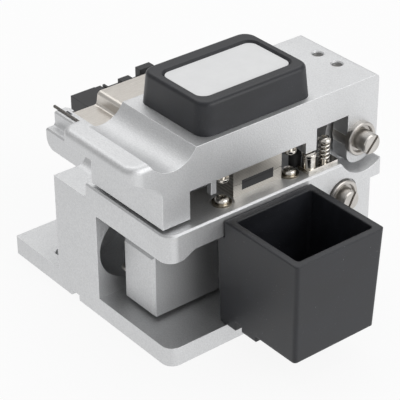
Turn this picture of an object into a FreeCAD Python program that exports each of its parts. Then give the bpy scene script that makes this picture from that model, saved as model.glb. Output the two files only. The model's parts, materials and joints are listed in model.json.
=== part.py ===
import FreeCAD, Part

import math
import os
import re

import Sketcher
from FreeCAD import Placement, Rotation, Vector

# Bench fibre cleaver with its lid closed, in millimetres.
# +X runs along the fibre to the scrap bin, +Y to the hinge at the back, +Z up.
# The origin is the centre of the underside of the base.

SIZES = {
    # base frame, one milled block
    "base_width": 63.2,
    "base_depth": 62.0,
    "plate_thick": 5.0,
    "corner_radius": 3.0,
    "left_corner_radius": 0.5,
    "edge_chamfer": 0.4,
    "web_blade_gap": 11.5,
    "web_width": 16.7,
    "shelf_top": 31.6,
    "deck_side_gap": 1.7,
    "step_radius": 1.0,
    "deck_top": 35.4,
    "deck_thick": 7.2,
    "deck_overhang": 2.3,
    "rear_block_depth": 15.5,
    "rear_block_inset": 0.8,
    "relief_depth": 1.7,
    "relief_reach": 3.9,
    "relief_setback": 4.6,
    "relief_ramp": 3.0,
    "relief_radius": 2.2,
    "washer_relief": 0.4,
    "groove_width": 3.2,
    "groove_depth": 1.5,
    "groove_inset": 5.1,
    "mount_hole_radius": 1.7,
    "mount_hole_gap": 5.7,
    "mount_hole_setback": 4.8,
    "port_radius": 8.8,
    "port_setback": 9.6,
    "port_height": 17.0,
    "port_plug_thick": 3.0,
    # hinge
    "hinge_inset": 3.0,
    "hinge_rise": 3.7,
    "shaft_radius": 2.6,
    "shaft_end_reach": 3.4,
    "shaft_slot_width": 0.9,
    "shaft_slot_depth": 1.3,
    "trough_radius": 8.2,
    "pillar_radius": 5.2,
    "ear_width": 4.9,
    "ear_gap": 0.8,
    "running_gap": 0.04,
    "bush_wall": 1.1,
    "flange_radius": 4.3,
    "flange_thick": 1.5,
    "flange_dish_radius": 3.4,
    "flange_dish_depth": 0.9,
    "clip_radius": 4.0,
    "clip_thick": 0.6,
    "clip_gap": 0.2,
    # lid
    "lid_inset": 2.5,
    "lid_width": 26.8,
    "lid_setback": 0.7,
    "lid_gap": 0.8,
    "lid_top": 54.0,
    "lid_rear_reach": 6.0,
    "leg_depth": 7.6,
    "lip_reach": 8.6,
    "lip_edge": 3.1,
    "lip_slope_drop": 4.6,
    "lip_corner_radius": 3.6,
    "lip_top_radius": 1.6,
    "lip_root_radius": 4.0,
    "wall_thick": 1.6,
    "ceiling_thick": 4.0,
    "front_window_top": 43.4,
    "catch_offset": 13.0,
    "catch_leg_depth": 3.3,
    "catch_leg_bottom": 40.4,
    "rear_window_top": 46.0,
    "ear_front_reach": 3.5,
    "ear_drop": 6.7,
    "ear_corner_radius": 3.0,
    "ear_rear_radius": 5.6,
    "scoop_radius": 7.2,
    "scoop_depth": 3.8,
    "scoop_setback": 3.8,
    "lid_rear_radius": 1.2,
    "grub_radius": 1.3,
    "grub_offset": 1.7,
    "grub_pitch": 6.8,
    "grub_length": 2.5,
    "grub_depth": 1.2,
    "grub_sink": 0.35,
    # hand pad on the lid
    "pad_margin": 1.4,
    "pad_lead": 16.25,
    "pad_length": 32.65,
    "pad_height": 8.0,
    "pad_draft": 0.6,
    "pad_corner_radius": 3.4,
    "pad_top_radius": 1.1,
    "label_width": 14.8,
    "label_length": 26.4,
    "label_corner_radius": 2.2,
    "label_shift": 0.4,
    "label_thick": 0.4,
    "label_sink": 0.9,
    "label_gap": 0.15,
    "label_recess_chamfer": 0.5,
    # fibre clamps
    "clamp_width": 7.5,
    "clamp_spread": 4.1,
    "clamp_length": 14.4,
    "fibre_hinge_gap": 29.6,
    "clamp_split": 38.4,
    "clamp_gap": 0.15,
    "upper_clamp_top": 49.9,
    "shoulder_bottom": 42.0,
    "shoulder_length": 5.9,
    "rubber_length": 9.4,
    "lower_rubber_depth": 1.7,
    "upper_rubber_depth": 0.7,
    "rubber_relief": 0.05,
    "clamp_screw_inset": 0.5,
    "front_screw_offset": 10.2,
    "rear_screw_offset": 10.0,
    "screw_head_radius": 1.7,
    "screw_head_thick": 1.4,
    "screw_head_round": 0.5,
    "screw_shank_radius": 0.9,
    "screw_depth": 3.4,
    "washer_radius": 2.35,
    "washer_thick": 0.5,
    "washer_recess_radius": 2.9,
    "washer_recess_depth": 0.3,
    # magnets and stops
    "magnet_radius": 3.0,
    "magnet_thick": 2.5,
    "magnet_setback": 4.6,
    "bumper_radius": 3.0,
    "bumper_gap": 0.4,
    "bumper_height": 14.0,
    # strike plate on the deck
    "strike_inset": 1.1,
    "strike_width": 4.2,
    "strike_offset": 12.8,
    "strike_length": 9.4,
    "strike_thick": 1.0,
    "stud_offset": 14.5,
    "stud_radius": 1.35,
    "stud_head_radius": 1.55,
    "stud_head_thick": 1.2,
    "stud_top_gap": 0.25,
    "stud_inset": 3.0,
    "spring_screw_offset": 19.0,
    "spring_screw_inset": 2.8,
    "spring_screw_top": 43.0,
    "spring_head_radius": 1.6,
    "spring_head_thick": 1.3,
    "spring_stem_radius": 0.85,
    "spring_radius": 1.2,
    "spring_wire": 0.26,
    "spring_turns": 4.5,
    "post_radius": 1.5,
    "post_height": 3.8,
    "post_offset": 13.7,
    "post_inset": 7.0,
    "hook_width": 1.5,
    "hook_lead": 14.8,
    "hook_bottom": 39.8,
    "hook_inset": 0.4,
    "side_screw_lead": 6.7,
    "side_screw_height": 26.4,
    "side_screw_reach": 2.4,
    # slider and blade
    "slider_gap": 4.2,
    "slider_width": 11.55,
    "slider_rear_gap": 3.5,
    "slider_setback": 4.6,
    "slider_lift": 1.05,
    "slider_height": 16.45,
    "slider_chamfer": 0.6,
    "slot_setback": 12.1,
    "channel_width": 8.0,
    "channel_height": 5.6,
    "channel_front": 6.0,
    "rail_width": 5.0,
    "rail_height": 4.0,
    "rail_front_gap": 0.6,
    "rail_rear_gap": 0.5,
    "carriage_gap": 0.08,
    "carriage_length": 16.0,
    "slider_pin_radius": 1.0,
    "slider_pin_reach": 2.8,
    "slider_pin_setback": 2.0,
    "slider_pin_height": 12.6,
    "blade_radius": 7.5,
    "blade_thick": 1.2,
    "blade_offset": 9.0,
    "blade_rise": 0.1,
    "blade_bore": 1.6,
    "axle_radius": 1.55,
    "hub_radius": 3.2,
    "hub_thick": 1.0,
    "blade_side_gap": 0.4,
    "bracket_thick": 2.0,
    "bracket_width": 9.0,
    "bracket_top_radius": 3.4,
    "foot_thick": 2.0,
    "foot_width": 5.2,
    "foot_length": 10.6,
    "foot_screw_radius": 1.3,
    "foot_screw_inset": 2.2,
    "foot_screw_head": 0.9,
    "slot_half_width": 3.5,
    "slot_end_gap": 0.8,
    # anvil in the lid
    "anvil_width": 3.2,
    "anvil_pivot_offset": 11.2,
    "anvil_pivot_drop": 3.8,
    "anvil_pin_radius": 1.0,
    "anvil_thick": 2.6,
    "anvil_boss_radius": 2.0,
    "anvil_tip_gap": 0.6,
    "anvil_tip_length": 2.4,
    "anvil_side_gap": 0.3,
    "anvil_lug_thick": 1.8,
    # scrap bin
    "bin_gap": 0.4,
    "bin_width": 24.6,
    "bin_length": 25.9,
    "bin_lead": 13.7,
    "bin_top": 34.1,
    "bin_bottom": 7.7,
    "bin_wall": 1.8,
    "bin_draft": 0.95,
    "bin_corner_radius": 0.9,
    "tongue_reach": 3.1,
    "tongue_lift": 0.3,
    "tongue_gap": 0.15,
    "toe_length": 6.1,
    "toe_gap": 2.3,
    "tab_length": 5.0,
    "tab_drop": 1.5,
    # wing of the frame, left of the deck, with its ledge and fence
    "wing_lead": 19.7,
    "wing_length": 39.4,
    "wing_reach": 30.36,
    "wing_floor": 36.5,
    "wing_notch": 2.76,
    "wing_corner_radius": 3.0,
    "wing_root_radius": 3.0,
    "ledge_depth": 2.7,
    "ledge_top": 33.5,
    "ledge_radius": 0.8,
    "fence_depth": 3.3,
    "fence_tab_depth": 0.7,
    "fence_top": 37.2,
    "fence_radius": 1.5,
    "fence_slot_inset": 1.76,
    "fence_slot_length": 2.3,
    "fence_slot_setback": 2.15,
    "fence_slot_width": 0.55,
    "fence_slot_depth": 1.0,
    "guide_pin_radius": 0.4,
    "guide_pin_setback": 1.4,
    "guide_pin_rise": 0.15,
    "guide_pin_overhang": 2.1,
    "guide_pin_length": 18.0,
    # moulded fibre guide on the left flank of the wing
    "guide_setback": 11.3,
    "guide_reach": 8.1,
    "guide_drop": 6.5,
    "guide_top_drop": 0.05,
    "guide_front_length": 7.3,
    "guide_strip_width": 2.13,
    "guide_foot_drop": 2.9,
    "guide_screw_drop": 4.6,
    "guide_screw_reach": 4.0,
    "guide_screw_pitch": 11.35,
    "strip_lip_run": 1.8,
    "strip_lip_drop": 0.2,
    "strip_gap_run": 0.7,
    "strip_gap_drop": 1.2,
    "strip_tooth_run": 0.6,
    "strip_tooth_drop": 0.15,
    "strip_seat_run": 0.6,
    "strip_seat_drop": 0.7,
    "strip_rest_run": 3.6,
    "strip_rest_drop": 1.2,
    "strip_land_run": 3.3,
    "strip_land_drop": 0.1,
    "strip_dip_run": 2.3,
    "strip_dip_drop": 1.3,
    "strip_tab_run": 4.4,
    "strip_tab_drop": -1.45,
    # hinged press plate over the fibre, its bracket and bed
    "press_inset": 3.06,
    "press_width": 24.5,
    "press_lead": 0.2,
    "press_rise": 3.4,
    "sheet_thick": 0.4,
    "sheet_gap": 0.05,
    "riser_setback": 7.2,
    "riser_run": 0.5,
    "bend_radius": 1.2,
    "knuckle_radius": 1.4,
    "knuckle_width": 13.0,
    "press_pin_radius": 0.8,
    "press_pin_setback": 35.8,
    "bracket_ear_gap": 0.3,
    "bracket_ear_width": 2.0,
    "bracket_foot_width": 3.6,
    "bracket_foot_thick": 0.7,
    "bracket_foot_length": 4.0,
    "bed_width": 20.0,
    "bed_length": 6.0,
    "bed_groove": 0.25,
    "press_rubber_width": 12.0,
    "press_rubber_length": 4.0,
    "press_rubber_gap": 0.1,
    "press_magnet_radius": 2.5,
    "press_magnet_thick": 2.0,
    "press_magnet_setback": 3.8,
}

# Places worked out from the sizes above.
PLACES = {
    "base_left": "-base_width / 2",
    "base_right": "base_width / 2",
    "base_front": "-base_depth / 2",
    "base_rear": "base_depth / 2",
    "web_right": "middle_x - web_blade_gap",
    "web_left": "web_right - web_width",
    "deck_left": "lid_left - deck_side_gap",
    "deck_rear": "base_rear + deck_overhang",
    "deck_bottom": "deck_top - deck_thick",
    "rear_block_front": "base_rear - rear_block_depth",
    "rear_block_right": "base_right - rear_block_inset",
    "port_y": "base_front + port_setback",
    "relief_start": "base_front + relief_setback",
    "relief_top": "deck_bottom + relief_depth",
    "hinge_y": "base_rear - hinge_inset",
    "hinge_height": "deck_top + hinge_rise",
    "lid_right": "base_right - lid_inset",
    "lid_left": "lid_right - lid_width",
    "lid_front": "base_front + lid_setback",
    "lid_bottom": "deck_top + lid_gap",
    "lid_rear": "hinge_y + lid_rear_reach",
    "lip_front": "lid_front - lip_reach",
    "lip_bottom": "lid_top - lip_edge",
    "leg_rear": "lid_front + leg_depth",
    "catch_front": "fibre_y + catch_offset",
    "catch_rear": "catch_front + catch_leg_depth",
    "ear_front": "hinge_y - ear_front_reach",
    "ear_bottom": "hinge_height - ear_drop",
    "ceiling": "lid_top - ceiling_thick",
    "cavity_left": "lid_left + wall_thick",
    "cavity_right": "lid_right - wall_thick",
    "left_ear_inner": "lid_left + ear_width",
    "right_ear_inner": "lid_right - ear_width",
    "pillar_left": "left_ear_inner + ear_gap",
    "pillar_right": "right_ear_inner - ear_gap",
    "bush_radius": "shaft_radius + running_gap + bush_wall",
    "middle_x": "lid_left + lid_width / 2",
    "fibre_y": "hinge_y - fibre_hinge_gap",
    "left_clamp_right": "middle_x - clamp_spread",
    "left_clamp_left": "left_clamp_right - clamp_width",
    "right_clamp_left": "middle_x + clamp_spread",
    "right_clamp_right": "right_clamp_left + clamp_width",
    "clamp_front": "fibre_y - clamp_length / 2",
    "clamp_rear": "fibre_y + clamp_length / 2",
    "upper_clamp_bottom": "clamp_split + clamp_gap",
    "front_screw_y": "fibre_y - front_screw_offset",
    "rear_screw_y": "fibre_y + rear_screw_offset",
    "left_screw_x": "left_clamp_left + clamp_screw_inset",
    "right_screw_x": "right_clamp_right - clamp_screw_inset",
    "pad_left": "lid_left + pad_margin",
    "pad_right": "lid_right - pad_margin",
    "pad_front": "fibre_y - pad_lead",
    "pad_rear": "pad_front + pad_length",
    "pad_top": "lid_top + pad_height",
    "slider_left": "web_right + slider_gap",
    "slider_right": "slider_left + slider_width",
    "slider_middle": "slider_left + slider_width / 2",
    "slider_front": "base_front + slider_setback",
    "slider_rear": "rear_block_front - slider_rear_gap",
    "slider_bottom": "plate_thick + slider_lift",
    "slider_top": "slider_bottom + slider_height",
    "channel_start": "slider_front + channel_front",
    "rail_top": "plate_thick + rail_height",
    "rail_front": "channel_start + rail_front_gap",
    "rail_rear": "rear_block_front - rail_rear_gap",
    "blade_y": "fibre_y + blade_offset",
    "blade_z": "clamp_split + blade_rise - blade_radius",
    "blade_left": "middle_x - blade_thick / 2",
    "blade_right": "middle_x + blade_thick / 2",
    "bracket_right": "blade_left - blade_side_gap",
    "bracket_left": "bracket_right - bracket_thick",
    "slot_front": "base_front + slot_setback",
    "slot_rear": "blade_y + blade_radius + slot_end_gap",
    "strike_right": "base_right - strike_inset",
    "strike_left": "strike_right - strike_width",
    "strike_front": "fibre_y + strike_offset",
    "strike_top": "deck_top + strike_thick",
    "bin_left": "base_right + bin_gap",
    "bin_right": "bin_left + bin_width",
    "bin_front": "fibre_y - bin_lead",
    "bin_rear": "bin_front + bin_length",
    "tongue_left": "bin_left - tongue_reach",
    "tongue_bottom": "plate_thick + tongue_lift",
    "tongue_top": "relief_top - tongue_gap",
    "anvil_y": "fibre_y + anvil_pivot_offset",
    "anvil_z": "ceiling - anvil_pivot_drop",
    "wing_left": "deck_left - wing_reach",
    "wing_front": "fibre_y - wing_lead",
    "wing_rear": "wing_front + wing_length",
    "fence_front": "wing_front + ledge_depth",
    "fence_rear": "fence_front + fence_depth",
    "tab_rear": "fence_rear + fence_tab_depth",
    "flank": "wing_left + wing_notch",
    "guide_pin_y": "fence_front + guide_pin_setback",
    "guide_pin_z": "fence_top + guide_pin_rise",
    "guide_left": "flank - guide_reach",
    "guide_front": "wing_front + guide_setback",
    "guide_bottom": "wing_floor - guide_drop",
    "guide_foot_top": "wing_floor - guide_foot_drop",
    "guide_screw_z": "wing_floor - guide_screw_drop",
    "press_left": "wing_left + press_inset",
    "press_right": "press_left + press_width",
    "press_middle": "press_left + press_width / 2",
    "press_front": "fence_rear + press_lead",
    "press_low": "wing_floor + sheet_gap",
    "press_high": "press_low + press_rise",
    "riser_y": "fence_rear + riser_setback",
    "press_pin_y": "wing_front + press_pin_setback",
    "press_pin_z": "press_high + sheet_thick - knuckle_radius",
    "press_rear": "press_pin_y - 2 * knuckle_radius",
}

NAMES = re.compile(r"[a-z][a-z_]*[a-z]")

DOC = FreeCAD.newDocument("fibre_cleaver")


def make_sheet():
    """Put every driving size in a cell of its own, with its name as the alias."""
    sheet = DOC.addObject("Spreadsheet::Sheet", "Sizes")
    for row, (name, number) in enumerate(SIZES.items(), start=1):
        sheet.set(f"A{row}", name)
        sheet.set(f"B{row}", str(number))
        sheet.setAlias(f"B{row}", name)
    DOC.recompute()
    return sheet


SHEET = make_sheet()


def tie(formula):
    """Turn the names in a formula into references to the cells of the sheet."""

    def refer(match):
        name = match.group(0)
        if name in PLACES:
            return f"({tie(PLACES[name])})"
        if name in SIZES:
            return f"Sizes.{name}"
        return name

    return NAMES.sub(refer, str(formula))


def value(formula):
    """Number that a formula of sizes and places has now."""
    return float(SHEET.evalExpression(tie(formula)))


def bind(item, **formulas):
    """Bind properties of an object to formulas of the sheet."""
    for name, formula in formulas.items():
        item.setExpression(name.replace("_", "."), tie(formula))
    return item


def block(name, x, y, z):
    """Box between two places along each axis."""
    item = DOC.addObject("Part::Box", name)
    bind(item, Length=f"({x[1]}) - ({x[0]})", Width=f"({y[1]}) - ({y[0]})", Height=f"({z[1]}) - ({z[0]})")
    return bind(item, Placement_Base_x=x[0], Placement_Base_y=y[0], Placement_Base_z=z[0])


TURNS = {
    "x": Rotation(Vector(0, 1, 0), 90),
    "y": Rotation(Vector(1, 0, 0), -90),
    "z": Rotation(),
}


def spot(axis, across, start):
    """Formulas for X, Y and Z of a point on a line along an axis."""
    first, second = across
    return {"x": (start, first, second), "y": (first, start, second), "z": (first, second, start)}[axis]


def rod(name, axis, across, span, radius):
    """Cylinder along an axis between two places."""
    item = DOC.addObject("Part::Cylinder", name)
    item.Placement = Placement(Vector(), TURNS[axis])
    x, y, z = spot(axis, across, span[0])
    bind(item, Radius=radius, Height=f"({span[1]}) - ({span[0]})")
    return bind(item, Placement_Base_x=x, Placement_Base_y=y, Placement_Base_z=z)


def cone(name, across, span, radii):
    """Upright cone between two heights, with its lower and upper radius."""
    item = DOC.addObject("Part::Cone", name)
    bind(item, Radius1=radii[0], Radius2=radii[1], Height=f"({span[1]}) - ({span[0]})")
    return bind(item, Placement_Base_x=across[0], Placement_Base_y=across[1], Placement_Base_z=span[0])


def tapered_block(name, x, y, z, shrink):
    """Box whose top is smaller than its foot by a draft on each of its four sides."""
    item = DOC.addObject("Part::Wedge", name)
    item.Placement = Placement(Vector(), Rotation(Vector(1, 0, 0), 90))
    bind(item, Xmin=x[0], Xmax=x[1], X2min=f"({x[0]}) + ({shrink})", X2max=f"({x[1]}) - ({shrink})")
    bind(item, Ymin=z[0], Ymax=z[1])
    bind(item, Zmin=f"-({y[1]})", Zmax=f"-({y[0]})")
    return bind(item, Z2min=f"-({y[1]}) + ({shrink})", Z2max=f"-({y[0]}) - ({shrink})")


def join(name, *items):
    """Fuse several objects into one."""
    item = DOC.addObject("Part::MultiFuse", name)
    item.Shapes = list(items)
    item.Refine = True
    return item


def group(name, *items):
    """Separate solids kept together as one sub-part."""
    item = DOC.addObject("Part::Compound", name)
    item.Links = list(items)
    return item


def cut(name, base, *tools):
    """Cut one or several objects away from another."""
    item = DOC.addObject("Part::Cut", name)
    item.Base = base
    item.Tool = tools[0] if len(tools) == 1 else join(f"{name}_cutters", *tools)
    item.Refine = True
    return item


def outline_body(name, plane, points, span):
    """Body padded between two places from a closed outline of straight sides."""
    body = DOC.addObject("PartDesign::Body", name)
    role = f"{plane}_Plane"
    support = next(part for part in body.Origin.OriginFeatures if part.Role == role)
    sketch = body.newObject("Sketcher::SketchObject", f"{name}_outline")
    sketch.AttachmentSupport = [(support, "")]
    sketch.MapMode = "FlatFace"
    flipped = plane == "XZ"
    start = f"-({span[0]})" if flipped else span[0]
    sketch.setExpression(".AttachmentOffset.Base.z", tie(start))
    corners = [Vector(value(across), value(up), 0) for across, up in points]
    count = len(corners)
    for index in range(count):
        sketch.addGeometry(Part.LineSegment(corners[index], corners[(index + 1) % count]), False)
    for index in range(count):
        sketch.addConstraint(Sketcher.Constraint("Coincident", index, 2, (index + 1) % count, 1))
    for index, (across, up) in enumerate(points):
        for kind, formula, place in (("DistanceX", across, corners[index].x), ("DistanceY", up, corners[index].y)):
            number = sketch.addConstraint(Sketcher.Constraint(kind, -1, 1, index, 1, place))
            sketch.setExpression(f"Constraints[{number}]", tie(formula))
    pad = body.newObject("PartDesign::Pad", f"{name}_pad")
    pad.Profile = sketch
    pad.Reversed = flipped
    pad.setExpression("Length", tie(f"({span[1]}) - ({span[0]})"))
    return body


def straight_edges(axis, *spots, reach=0.45):
    """Test for straight edges along an axis that pass the given places on the other two axes."""
    first, second = {"x": ("y", "z"), "y": ("x", "z"), "z": ("x", "y")}[axis]
    places = [(value(a), value(b)) for a, b in spots]

    def test(edge):
        if edge.Curve.TypeId != "Part::GeomLine":
            return False
        start, end = edge.Vertexes[0].Point, edge.Vertexes[-1].Point
        run = end - start
        if abs(getattr(run, axis)) < 0.95 * run.Length:
            return False
        middle = (start + end) / 2
        return any(
            abs(getattr(middle, first) - a) < reach and abs(getattr(middle, second) - b) < reach
            for a, b in places
        )

    return test


def edges_in_plane(axis, place):
    """Test for edges that lie in a plane across an axis."""
    level = value(place)

    def test(edge):
        return all(abs(getattr(vertex.Point, axis) - level) < 0.01 for vertex in edge.Vertexes)

    return test


def dress(kind, name, item, size, test):
    """Fillet or chamfer the edges of an object that a test picks."""
    DOC.recompute()
    amount = value(size)
    picked = [number for number, edge in enumerate(item.Shape.Edges, start=1) if test(edge)]
    if not picked:
        raise ValueError(f"{name} found no edge")
    result = DOC.addObject(kind, name)
    result.Base = item
    result.Edges = [(number, amount, amount) for number in picked]
    return result


def round_edges(name, item, radius, test):
    return dress("Part::Fillet", name, item, radius, test)


def chamfer_edges(name, item, size, test):
    return dress("Part::Chamfer", name, item, size, test)


def ring(name, axis, across, span, outer, inner):
    """Washer or bush."""
    body = rod(f"{name}_outside", axis, across, span, outer)
    bore = rod(f"{name}_bore", axis, across, (f"{span[0]} - 1", f"{span[1]} + 1"), inner)
    return cut(name, body, bore)


def pan_screw(name, across, seat, depth, up=True):
    """Upright pan-head screw: its head on a seat, its shank into what the seat belongs to."""
    sign = "+" if up else "-"
    far = "-" if up else "+"
    top = f"{seat} {sign} screw_head_thick"
    end = f"{seat} {far} ({depth})"
    head_span = (seat, top) if up else (top, seat)
    shank_span = (end, seat) if up else (seat, end)
    head = rod(f"{name}_head", "z", across, head_span, "screw_head_radius")
    crown = chamfer_edges(f"{name}_crown", head, "screw_head_round", edges_in_plane("z", top))
    shank = rod(f"{name}_shank", "z", across, shank_span, "screw_shank_radius")
    return join(name, crown, shank)


PARTS = []


def part(label, item):
    """Name a finished sub-part."""
    item.Label = label
    PARTS.append((label, item))
    return item


def make_base_frame():
    """Milled frame: base plate, upright web, shelf, deck, rear block and hinge pillar."""
    outline = [
        ("base_left", "0"),
        ("base_right", "0"),
        ("base_right", "plate_thick"),
        ("web_right", "plate_thick"),
        ("web_right", "deck_bottom"),
        ("base_right", "deck_bottom"),
        ("base_right", "deck_top"),
        ("deck_left", "deck_top"),
        ("deck_left", "shelf_top"),
        ("web_left", "shelf_top"),
        ("web_left", "plate_thick"),
        ("base_left", "plate_thick"),
    ]
    frame = outline_body("frame_profile", "XZ", outline, ("base_front", "base_rear"))
    corners = straight_edges("z", ("base_right", "base_front"), ("base_right", "base_rear"))
    frame = round_edges("frame_corners", frame, "corner_radius", corners)
    corners = straight_edges("z", ("base_left", "base_front"), ("base_left", "base_rear"))
    frame = round_edges("frame_left_corners", frame, "left_corner_radius", corners)
    frame = round_edges("frame_step", frame, "step_radius", straight_edges("y", ("deck_left", "shelf_top")))
    rear_block = block(
        "frame_rear_block",
        ("web_left", "rear_block_right"),
        ("rear_block_front", "base_rear"),
        ("plate_thick - 0.5", "deck_bottom + 0.5"),
    )
    overhang = block(
        "frame_overhang",
        ("deck_left", "base_right"),
        ("base_rear - corner_radius", "deck_rear"),
        ("deck_bottom", "deck_top"),
    )
    frame = join("frame_block", frame, rear_block, overhang)
    frame = chamfer_edges(
        "frame_deck_edge",
        frame,
        "edge_chamfer",
        lambda edge: edges_in_plane("z", "deck_top")(edge)
        and (edge.BoundBox.YMax < value("base_rear - corner_radius") or edge.BoundBox.XMin > value("base_right - 1"))
        and edge.BoundBox.XMax > value("deck_left + 1"),
    )
    trough = rod(
        "frame_trough",
        "x",
        ("hinge_y", "hinge_height"),
        ("deck_left - 1", "base_right + 1"),
        "trough_radius",
    )
    frame = cut("frame_with_trough", frame, trough)
    pillar_foot = block(
        "pillar_foot",
        ("pillar_left", "pillar_right"),
        ("hinge_y - pillar_radius", "hinge_y + pillar_radius"),
        ("deck_bottom + 1", "hinge_height"),
    )
    pillar_head = rod(
        "pillar_head",
        "x",
        ("hinge_y", "hinge_height"),
        ("pillar_left", "pillar_right"),
        "pillar_radius",
    )
    frame = join("frame_with_pillar", frame, pillar_foot, pillar_head, make_wing(), make_wing_root())
    cutters = [
        rod(
            "shaft_seat",
            "x",
            ("hinge_y", "hinge_height"),
            ("pillar_left - 1", "pillar_right + 1"),
            "shaft_radius",
        ),
        rod("port", "x", ("port_y", "port_height"), ("web_left - 1", "web_right + 1"), "port_radius"),
        block(
            "blade_slot",
            ("middle_x - slot_half_width", "middle_x + slot_half_width"),
            ("slot_front", "slot_rear"),
            ("deck_bottom - 1", "deck_top + 1"),
        ),
        make_deck_relief(),
        rod(
            "deck_magnet_seat",
            "z",
            ("middle_x", "base_front + magnet_setback"),
            ("deck_top - magnet_thick", "deck_top + 1"),
            "magnet_radius",
        ),
    ]
    cutters.append(
        block(
            "underside_groove",
            ("web_left + groove_inset", "web_left + groove_inset + groove_width"),
            ("base_front - 1", "base_rear + 1"),
            ("-1", "groove_depth"),
        )
    )
    for side, place in (("front", "base_front + mount_hole_setback"), ("rear", "base_rear - mount_hole_setback")):
        cutters.append(
            rod(
                f"mount_hole_{side}",
                "z",
                ("web_left - mount_hole_gap", place),
                ("-1", "plate_thick + 1"),
                "mount_hole_radius",
            )
        )
    cutters.append(
        rod(
            "side_washer_relief",
            "x",
            ("hinge_y - side_screw_lead", "side_screw_height"),
            ("rear_block_right", "base_right + 1"),
            "flange_radius + washer_relief",
        )
    )
    cutters.extend(wing_cutters())
    for name, across in clamp_screw_places():
        cutters.append(
            rod(
                f"washer_recess_{name}",
                "z",
                across,
                ("deck_top - washer_recess_depth", "deck_top + 1"),
                "washer_recess_radius",
            )
        )
        cutters.append(
            rod(
                f"screw_seat_{name}",
                "z",
                across,
                ("deck_top + washer_thick - washer_recess_depth - screw_depth", "deck_top + 1"),
                "screw_shank_radius",
            )
        )
    part("base_frame", cut("base_frame", frame, *cutters))


def make_deck_relief():
    """Cutter for the thinner right edge of the deck, with a ramp near the front corner."""
    outline = [
        ("base_front - 1", "deck_bottom - 1"),
        ("rear_block_front", "deck_bottom - 1"),
        ("rear_block_front", "relief_top"),
        ("relief_start + relief_ramp", "relief_top"),
        ("relief_start", "deck_bottom"),
        ("base_front - 1", "deck_bottom"),
    ]
    across = ("base_right - relief_reach", "base_right + 1")
    cutter = outline_body("relief_profile", "YZ", outline, across)
    bends = straight_edges("x", ("relief_start + relief_ramp", "relief_top"), ("relief_start", "deck_bottom"))
    return round_edges("relief_bends", cutter, "relief_radius", bends)


def make_wing():
    """Wing over the open left side: a ledge in front, a fence with a short tab and a flat floor."""
    outline = [
        ("wing_front", "deck_bottom"),
        ("wing_rear", "deck_bottom"),
        ("wing_rear", "wing_floor"),
        ("fence_rear", "wing_floor"),
        ("fence_rear", "fence_top"),
        ("fence_front", "fence_top"),
        ("fence_front", "ledge_top"),
        ("wing_front", "ledge_top"),
    ]
    wing = outline_body("wing_profile", "YZ", outline, ("wing_left", "deck_left"))
    root = straight_edges("x", ("fence_front", "ledge_top"))
    wing = round_edges("wing_ledge_root", wing, "ledge_radius", root)
    rims = straight_edges("x", ("wing_front", "ledge_top"), ("fence_front", "fence_top"))
    wing = chamfer_edges("wing_rims", wing, "edge_chamfer", rims)
    wing = round_edges("wing_lower_edge", wing, "wing_corner_radius", straight_edges("y", ("wing_left", "deck_bottom")))
    tab = block(
        "fence_tab",
        ("wing_left", "flank"),
        ("fence_rear - fence_radius", "tab_rear"),
        ("deck_bottom + wing_corner_radius", "fence_top"),
    )
    notch = block(
        "wing_notch",
        ("wing_left - 1", "flank"),
        ("tab_rear", "wing_rear + 1"),
        ("deck_bottom - 1", "fence_top + 1"),
    )
    tab = round_edges("fence_tab_corner", tab, "fence_radius", straight_edges("z", ("wing_left", "tab_rear")))
    return cut("wing_notched", join("wing_with_tab", wing, tab), notch)


def make_wing_root():
    """Concave root between the fibre shelf and the front of the wing."""
    blank = block(
        "wing_root_blank",
        ("web_left", "deck_left"),
        ("wing_front - wing_root_radius", "wing_front + 0.5"),
        ("shelf_top - 0.5", "ledge_top"),
    )
    hollow = rod(
        "wing_root_hollow",
        "x",
        ("wing_front - wing_root_radius", "shelf_top + wing_root_radius"),
        ("web_left - 1", "deck_left + 1"),
        "wing_root_radius",
    )
    return cut("wing_root", blank, hollow)


def guide_screw_places():
    """Places along Y of the two screws that hold the fibre guide to the wing."""
    first = "guide_front + guide_front_length / 2"
    return [first, f"{first} + guide_front_length + guide_screw_pitch"]


def wing_cutters():
    """Recesses in the wing: pin groove, fence slot, magnet seat and screw seats."""
    slot_x = "wing_left + fence_slot_inset"
    slot_y = "fence_front + fence_slot_setback"
    cutters = [
        rod(
            "guide_pin_groove",
            "x",
            ("guide_pin_y", "guide_pin_z"),
            ("wing_left - 1", "wing_left - guide_pin_overhang + guide_pin_length"),
            "guide_pin_radius",
        ),
        block(
            "fence_slot",
            (slot_x, f"{slot_x} + fence_slot_length"),
            (slot_y, f"{slot_y} + fence_slot_width"),
            ("fence_top - fence_slot_depth", "fence_top + 1"),
        ),
        rod(
            "press_magnet_seat",
            "z",
            ("press_middle", "fence_rear + press_magnet_setback"),
            ("wing_floor - press_magnet_thick", "wing_floor + 1"),
            "press_magnet_radius",
        ),
    ]
    for index, place in enumerate(guide_screw_places()):
        seat = ("flank - 1", "flank + guide_screw_reach")
        cutters.append(rod(f"guide_seat_{index}", "x", (place, "guide_screw_z"), seat, "screw_shank_radius"))
    for index, across in enumerate(bracket_screw_places()):
        seat = ("wing_floor - screw_depth", "wing_floor + 1")
        cutters.append(rod(f"bracket_seat_{index}", "z", across, seat, "screw_shank_radius"))
    return cutters


def clamp_screw_places():
    """Names and places of the four clamp screws, left and right, front and rear."""
    return [
        (f"{side}_{end}", (x, y))
        for side, x in (("left", "left_screw_x"), ("right", "right_screw_x"))
        for end, y in (("front", "front_screw_y"), ("rear", "rear_screw_y"))
    ]


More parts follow.
